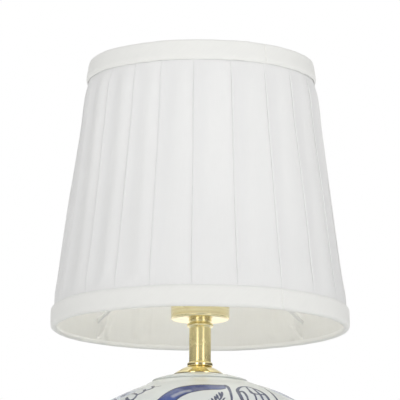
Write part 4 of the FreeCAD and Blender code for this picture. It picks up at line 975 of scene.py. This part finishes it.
def shoulder_group(a0, vary):
    p = Patch(a0, T_TOP - 48.0, 96.0)
    r = np.random.default_rng(vary)

    def line(pts, half, jitter=0.0):
        pts = np.asarray(pts, float) + (r.normal(0.0, jitter, (len(pts), 2)) if vary else 0.0)
        pts = curve(pts)
        w = 1.22 * np.interp(np.linspace(0, 1, len(pts)), np.linspace(0, 1, len(half)), half)
        sd = stroke_sd(p.x, p.y, pts, w)
        p.ink(sd)
        return sd

    j = 0.5 if vary else 0.0
    # the crescent
    out = curve([(-36.5, -31.0), (-38.6, -25.0), (-37.6, -19.0), (-35.0, -14.1), (-32.9, -10.9), (-30.4, -7.4), (-27.1, -2.9), (-23.8, 1.2), (-20.4, 4.8),
                 (-16.3, 7.7), (-12.1, 9.2), (-8.0, 10.4), (-4.0, 10.9), (0.1, 11.2), (6.6, 11.5), (13.2, 11.5), (18.2, 11.5), (21.4, 11.3)], 4)
    inn = curve([(21.6, 2.6), (16.4, 0.2), (9.9, -0.7), (5.8, -1.5), (1.7, -2.6), (-2.3, -4.0), (-6.4, -5.5), (-10.4, -7.8), (-13.6, -10.3),
                 (-16.5, -12.9), (-18.9, -16.0), (-22.5, -21.0), (-28.0, -27.0), (-34.5, -31.5)], 4)
    sd = poly_sd(p.x, p.y, np.vstack([out, inn]))
    # painted reflection: the crescent's cobalt is made up to a fifth paler towards its upper right end, under the lid,
    # standing in for the glaze's reflection where the shoulder is seen at a grazing angle
    painted_reflection_fade = 1.0 - 0.22 * sm(p.x, -14.0, 22.0)
    light = stroke_sd(p.x, p.y, curve([(-21.5, -10.2), (-16.5, -6.2), (-12.5, -3.6), (-8.6, -2.6)]), 1.9)
    p.pool(sm(sd, -0.45, 0.35) * painted_reflection_fade * (1.0 - 0.42 * sm(light, -1.4, 1.2)))
    p.ink(np.where(p.x < 21.0, 0.75 - np.abs(sd - 0.35), -5.0) * 1.0)
    # the line that springs from its tip
    line([(20.6, 11.6), (22.4, 8.6), (23.6, 4.5), (24.8, -2.3), (25.7, -9.3), (26.1, -16.4), (24.6, -25.0), (20.5, -31.0)], [0.9, 1.25, 1.15, 1.0, 0.9, 0.8, 0.6, 0.4], j * 0.4)
    # the comb under it
    line([(17.9, -5.0), (18.2, -9.5), (16.6, -15.5), (12.5, -22.0), (7.0, -27.5)], [0.7, 0.75, 0.7, 0.6, 0.4])
    for k, (x, y) in enumerate(((15.4, -5.9), (13.4, -9.2), (11.9, -12.2), (9.6, -15.0), (7.2, -17.6), (4.6, -20.0), (1.8, -22.0))):
        line([(x, y), (x + 0.8, y - 3.0), (x + 1.6, y - 6.4)], [0.55, 0.95, 0.45])
    for k, (x, y) in enumerate(((20.6, -13.5), (17.4, -19.5), (12.6, -25.0))):
        line([(x, y), (x - 1.2, y - 2.0), (x - 2.4, y - 4.8)], [0.35, 0.75, 0.4])
    # cloud scallops
    line([(-55.0, -24.0), (-58.0, -17.0), (-58.6, -9.7), (-56.5, -5.8), (-55.3, -0.5)], [0.5, 0.8, 0.95, 0.95, 1.0], j * 0.3)
    line([(-55.3, -0.5), (-52.3, 1.0), (-49.6, 3.9), (-48.2, 7.7), (-49.0, 10.6)], [1.1, 1.0, 1.0, 1.2, 1.5], j * 0.3)
    line([(-55.3, -0.3), (-57.6, 2.6), (-61.0, 4.6)], [1.0, 1.3, 1.5])
    line([(-48.0, 7.6), (-44.1, 9.2), (-41.3, 11.8), (-40.6, 15.7), (-41.2, 18.3)], [1.0, 0.95, 1.0, 1.3, 1.7], j * 0.3)
    line([(-40.4, 15.9), (-36.8, 14.9), (-33.1, 16.3)], [0.9, 0.7, 0.4])
    line([(-58.4, -8.6), (-62.0, -9.4), (-65.0, -6.6), (-66.2, -3.6)], [0.8, 1.1, 1.5, 1.4], j * 0.3)
    line([(-65.4, -7.2), (-70.5, -10.5), (-76.5, -9.0), (-81.0, -3.5), (-84.5, 0.5)], [0.9, 0.9, 1.0, 1.3, 1.5], j * 0.3)
    line([(-56.0, -23.0), (-63.0, -26.5), (-70.0, -24.0), (-75.0, -18.0)], [0.6, 0.8, 0.9, 1.2], j * 0.3)
    sd = poly_sd(p.x, p.y, [(-57, -22), (-58.5, -9), (-55.3, -0.5), (-49, 4), (-47, 9), (-41, 12), (-40, 17), (-44, 24), (-58, 18), (-74, 8), (-84, 1), (-76, -9), (-66, -9)])
    p.wash(sm(sd, -0.5, 1.0) * (0.06 + 0.22 * np.exp(-np.clip(sd, 0, 30) / 2.6)))
    # the veined leaf
    leaf_l = [(47.5, -31.5), (41.0, -26.5), (37.0, -21.0), (35.3, -15.7), (33.7, -10.1), (32.1, -4.4), (31.4, 0.0), (32.4, 5.0), (34.8, 8.9), (38.2, 10.9),
              (41.6, 11.0), (45.3, 8.9), (50.1, 5.3), (54.7, 0.2), (57.7, -4.8), (59.8, -9.7), (60.7, -14.6), (59.0, -22.0), (54.5, -28.0), (47.5, -31.5)]
    line(leaf_l, [0.6, 0.8, 1.05, 1.25, 1.35, 1.4, 1.35, 1.3, 1.15, 0.9, 0.75, 0.75, 0.95, 1.15, 1.25, 1.15, 1.0, 0.8, 0.7, 0.6], j * 0.2)
    line([(32.6, -3.0), (35.7, -2.1), (37.8, -5.5), (39.4, -10.3), (40.8, -17.0), (43.5, -25.0)], [1.0, 1.1, 1.0, 0.85, 0.7, 0.5])
    line([(39.6, 10.4), (41.9, 2.7), (44.0, -2.8), (46.6, -6.0), (48.1, -14.3), (48.6, -26.0)], [0.7, 0.8, 1.3, 0.85, 0.65, 0.45])
    line([(46.2, 7.4), (49.5, 0.1), (52.1, -5.0), (53.6, -9.6), (55.0, -16.5), (53.0, -25.0)], [0.7, 0.9, 1.1, 0.9, 0.7, 0.45])
    line([(43.9, -3.0), (48.1, -4.8), (53.1, -4.4), (57.4, -4.9)], [1.1, 0.8, 0.8, 0.9])
    sd = poly_sd(p.x, p.y, curve(leaf_l, 3))
    p.wash(sm(sd, -0.3, 0.8) * (0.10 + 0.20 * np.exp(-np.clip(sd, 0, 30) / 2.2)))
    # the line beyond it, and a band of wash along that line, darkest next to it
    line([(54.0, 19.5), (59.1, 15.5), (62.2, 9.1), (65.3, 2.1), (68.2, -6.0), (70.3, -13.0), (70.6, -22.0), (67.0, -30.0)], [0.3, 0.55, 0.8, 0.9, 0.95, 0.8, 0.6, 0.4], j * 0.3)
    sd = line([(73.5, 12.5), (80.0, 10.0), (87.0, 5.5), (95.0, 1.5)], [0.7, 1.9, 1.8, 1.0], j * 0.3)
    p.wash(sm(sd, -6.2, -4.8) * (0.34 + 0.3 * sm(sd, -3.0, 0.0)))


for k in range(3):
    shoulder_group(120.0 * k, 0 if k == 0 else 40 + k)
# fillers: small dots of colour where the ground is bare
for k in range(36):
    a = k * 10.0 + 4.0 * math.sin(k * 2.1)
    p = Patch(a, T_TOP - 88.0 + 2.0 * math.sin(k * 1.7), 7.0)
    if p.ok:
        p.ink(0.75 - np.hypot(p.x, p.y))

ink_all = np.full((len(prof), NJ), -5.0)
wash_all = np.zeros((len(prof), NJ))
pool_all = np.zeros((len(prof), NJ))
ink_all[:n_out], wash_all[:n_out], pool_all[:n_out] = ink_f, wash_f, pool_f
off = np.zeros((len(prof), NJ))
for k in range(len(outer) - 1):
    off[k] = unevenness(prof[k, 0], prof[k, 1], jaz)
jar = grid("painted_jar", around(prof[:, 0:1], prof[:, 1:2] + JAR_Z + off, jaz[None, :]), close_u=True, close_v=True,
           attrs={"ink": ink_all, "wash": wash_all, "pool": pool_all})
jar.data.materials.append(jar_paint)
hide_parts("jar_body")
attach(jar, "stand")

# ------------------------------------------------------------------ floor, light, camera
import bmesh
bm = bmesh.new()
bmesh.ops.create_circle(bm, cap_ends=True, segments=160, radius=0.9)
me = bpy.data.meshes.new("floor")
bm.to_mesh(me)
bm.free()
floor = bpy.data.objects.new("floor", me)
floor.location = (0, 0, -0.0002)
scene.collection.objects.link(floor)
fm = Mat("floor_paper")
fm.color(fm.ramp(fm.noise(3.0), [(0.3, (0.84, 0.84, 0.835)), (0.7, (0.87, 0.87, 0.865))]))
fm.rough(0.85)
fm.set(Emission_Color=(1.0, 1.0, 1.0, 1.0), Emission_Strength=0.15)
floor.data.materials.append(fm.m)

world = bpy.data.worlds.new("studio")
scene.world = world
world.use_nodes = True
wt = world.node_tree
wt.nodes.clear()


def wn(kind, **props):
    n = wt.nodes.new(kind)
    for k, v in props.items():
        setattr(n, k, v)
    return n


def wmath(op, a, b=None, clamp=False):
    n = wn("ShaderNodeMath", operation=op, use_clamp=clamp)
    for k, v in enumerate((a, b)):
        if v is None:
            continue
        if isinstance(v, (int, float)):
            n.inputs[k].default_value = v
        else:
            wt.links.new(v, n.inputs[k])
    return n.outputs[0]


tc = wn("ShaderNodeTexCoord")
sep = wn("ShaderNodeSeparateXYZ")
wt.links.new(tc.outputs["Generated"], sep.inputs[0])
# azimuth round the upright: 0 towards the front (-Y), positive to the right
ang = wmath("ARCTAN2", sep.outputs[0], wmath("MULTIPLY", sep.outputs[1], -1.0))


RING = [(-180, 0.85), (-162, 0.85), (-148, 0.08), (-128, 0.08), (-114, 0.15), (-90, 0.20), (-71, 0.24), (-50, 0.30), (-39, 0.50), (-33, 3.2),
        (-21, 3.2), (-14, 0.45), (0, 0.28), (14, 0.32), (25, 0.50), (31, 3.1), (41, 3.1), (49, 0.42), (65, 0.32), (84, 0.26), (107, 0.16), (126, 0.10),
        (148, 0.08), (162, 0.85), (180, 0.85)]
LEVEL_TOP = 3.5
ramp = wn("ShaderNodeValToRGB")
ramp.color_ramp.interpolation = "EASE"
el = ramp.color_ramp.elements
while len(el) > 1:
    el.remove(el[-1])
for k, (a, v) in enumerate(RING):
    e = el[0] if k == 0 else el.new((a + 180.0) / 360.0)
    e.position = (a + 180.0) / 360.0
    e.color = (v / LEVEL_TOP,) * 3 + (1,)
wt.links.new(wmath("ADD", wmath("MULTIPLY", ang, 1.0 / (2 * math.pi)), 0.5), ramp.inputs[0])
ring_level = wmath("MULTIPLY", ramp.outputs[0], LEVEL_TOP)


def fade(v, a, b, c, d):
    n = wn("ShaderNodeMapRange", interpolation_type="SMOOTHSTEP")
    for key, val in (("From Min", a), ("From Max", b), ("To Min", c), ("To Max", d)):
        n.inputs[key].default_value = val
    wt.links.new(v, n.inputs["Value"])
    return n.outputs["Result"]


def blend_level(fac, a, b):
    """a where fac is 0, b where it is 1."""
    keep = wmath("MULTIPLY", a, wmath("SUBTRACT", 1.0, fac))
    return wmath("ADD", keep, wmath("MULTIPLY", b, fac))


zup = sep.outputs[2]
level = blend_level(fade(zup, 0.45, 0.8, 0.0, 1.0), ring_level, 0.75)     # overhead
# white table top below the horizon: bright behind, and no more than the room's own level in front
behind = wmath("MULTIPLY", fade(sep.outputs[1], 0.0, 0.8, 0.0, 1.0), 1.5)
under = wmath("MAXIMUM", wmath("MULTIPLY", ring_level, 0.85), behind)
gloss_level = blend_level(fade(zup, -0.14, -0.02, 1.0, 0.0), level, under)
# what lights the matt surfaces: an even tent, a little stronger from the front and below
soft = wmath("ADD", 0.672, wmath("MULTIPLY", sep.outputs[1], -0.17))
soft_level = blend_level(fade(zup, -0.25, 0.05, 1.0, 0.0), soft, 1.20)
lp = wn("ShaderNodeLightPath")
level = blend_level(lp.outputs["Is Glossy Ray"], soft_level, gloss_level)
bg_light = wn("ShaderNodeBackground")
bg_light.inputs["Color"].default_value = (1.0, 1.0, 1.0, 1.0)
wt.links.new(level, bg_light.inputs["Strength"])
bg_white = wn("ShaderNodeBackground")
bg_white.inputs["Color"].default_value = (1.0, 1.0, 1.0, 1.0)
bg_white.inputs["Strength"].default_value = 1.0
mixs = wn("ShaderNodeMixShader")
wt.links.new(lp.outputs["Is Camera Ray"], mixs.inputs[0])
wt.links.new(bg_light.outputs[0], mixs.inputs[1])
wt.links.new(bg_white.outputs[0], mixs.inputs[2])
wo = wn("ShaderNodeOutputWorld")
wt.links.new(mixs.outputs[0], wo.inputs["Surface"])


def softbox(name, place, aim, size, power, glossy=False):
    light = bpy.data.lights.new(name, "AREA")
    light.shape = "RECTANGLE"
    light.size, light.size_y = size
    light.energy = power
    ob = bpy.data.objects.new(name, light)
    ob.location = place
    d = Vector(aim) - Vector(place)
    ob.rotation_euler = d.to_track_quat("-Z", "Y").to_euler()
    ob.visible_glossy = glossy
    scene.collection.objects.link(ob)
    return ob


# daylight that finds its way into the shade from above
for k in range(6):
    a = math.radians(30.0 + 60.0 * k)
    light = bpy.data.lights.new("inner_%d" % k, "POINT")
    light.energy = 0.069
    light.shadow_soft_size = 0.03
    ob = bpy.data.objects.new("inner_%d" % k, light)
    ob.location = (0.062 * math.sin(a), -0.062 * math.cos(a), 0.425)
    ob.visible_glossy = False
    ob.visible_camera = False
    scene.collection.objects.link(ob)
softbox("key", (1.25, -2.8, 0.9), (0, 0, 0.35), (1.1, 1.1), 10.5)
softbox("fill", (-0.9, -2.6, 0.5), (0, 0, 0.3), (1.4, 1.6), 2.0)

cam = bpy.data.cameras.new("camera")
cam.lens = 333.0
cam.sensor_width = 36.0
cam.sensor_fit = "HORIZONTAL"
cam.clip_start, cam.clip_end = 0.05, 50.0
camera = bpy.data.objects.new("camera", cam)
camera.matrix_world = (Matrix.Translation((-0.00053, -3.053, -0.2006)) @ Matrix.Rotation(math.radians(90.0 + 10.83), 4, "X")
                       @ Matrix.Rotation(math.radians(0.24), 4, "Z"))
scene.collection.objects.link(camera)
scene.camera = camera
scene.view_settings.view_transform = "Standard"
scene.view_settings.look = "None"
scene.view_settings.exposure = 0.0
scene.view_settings.gamma = 1.0
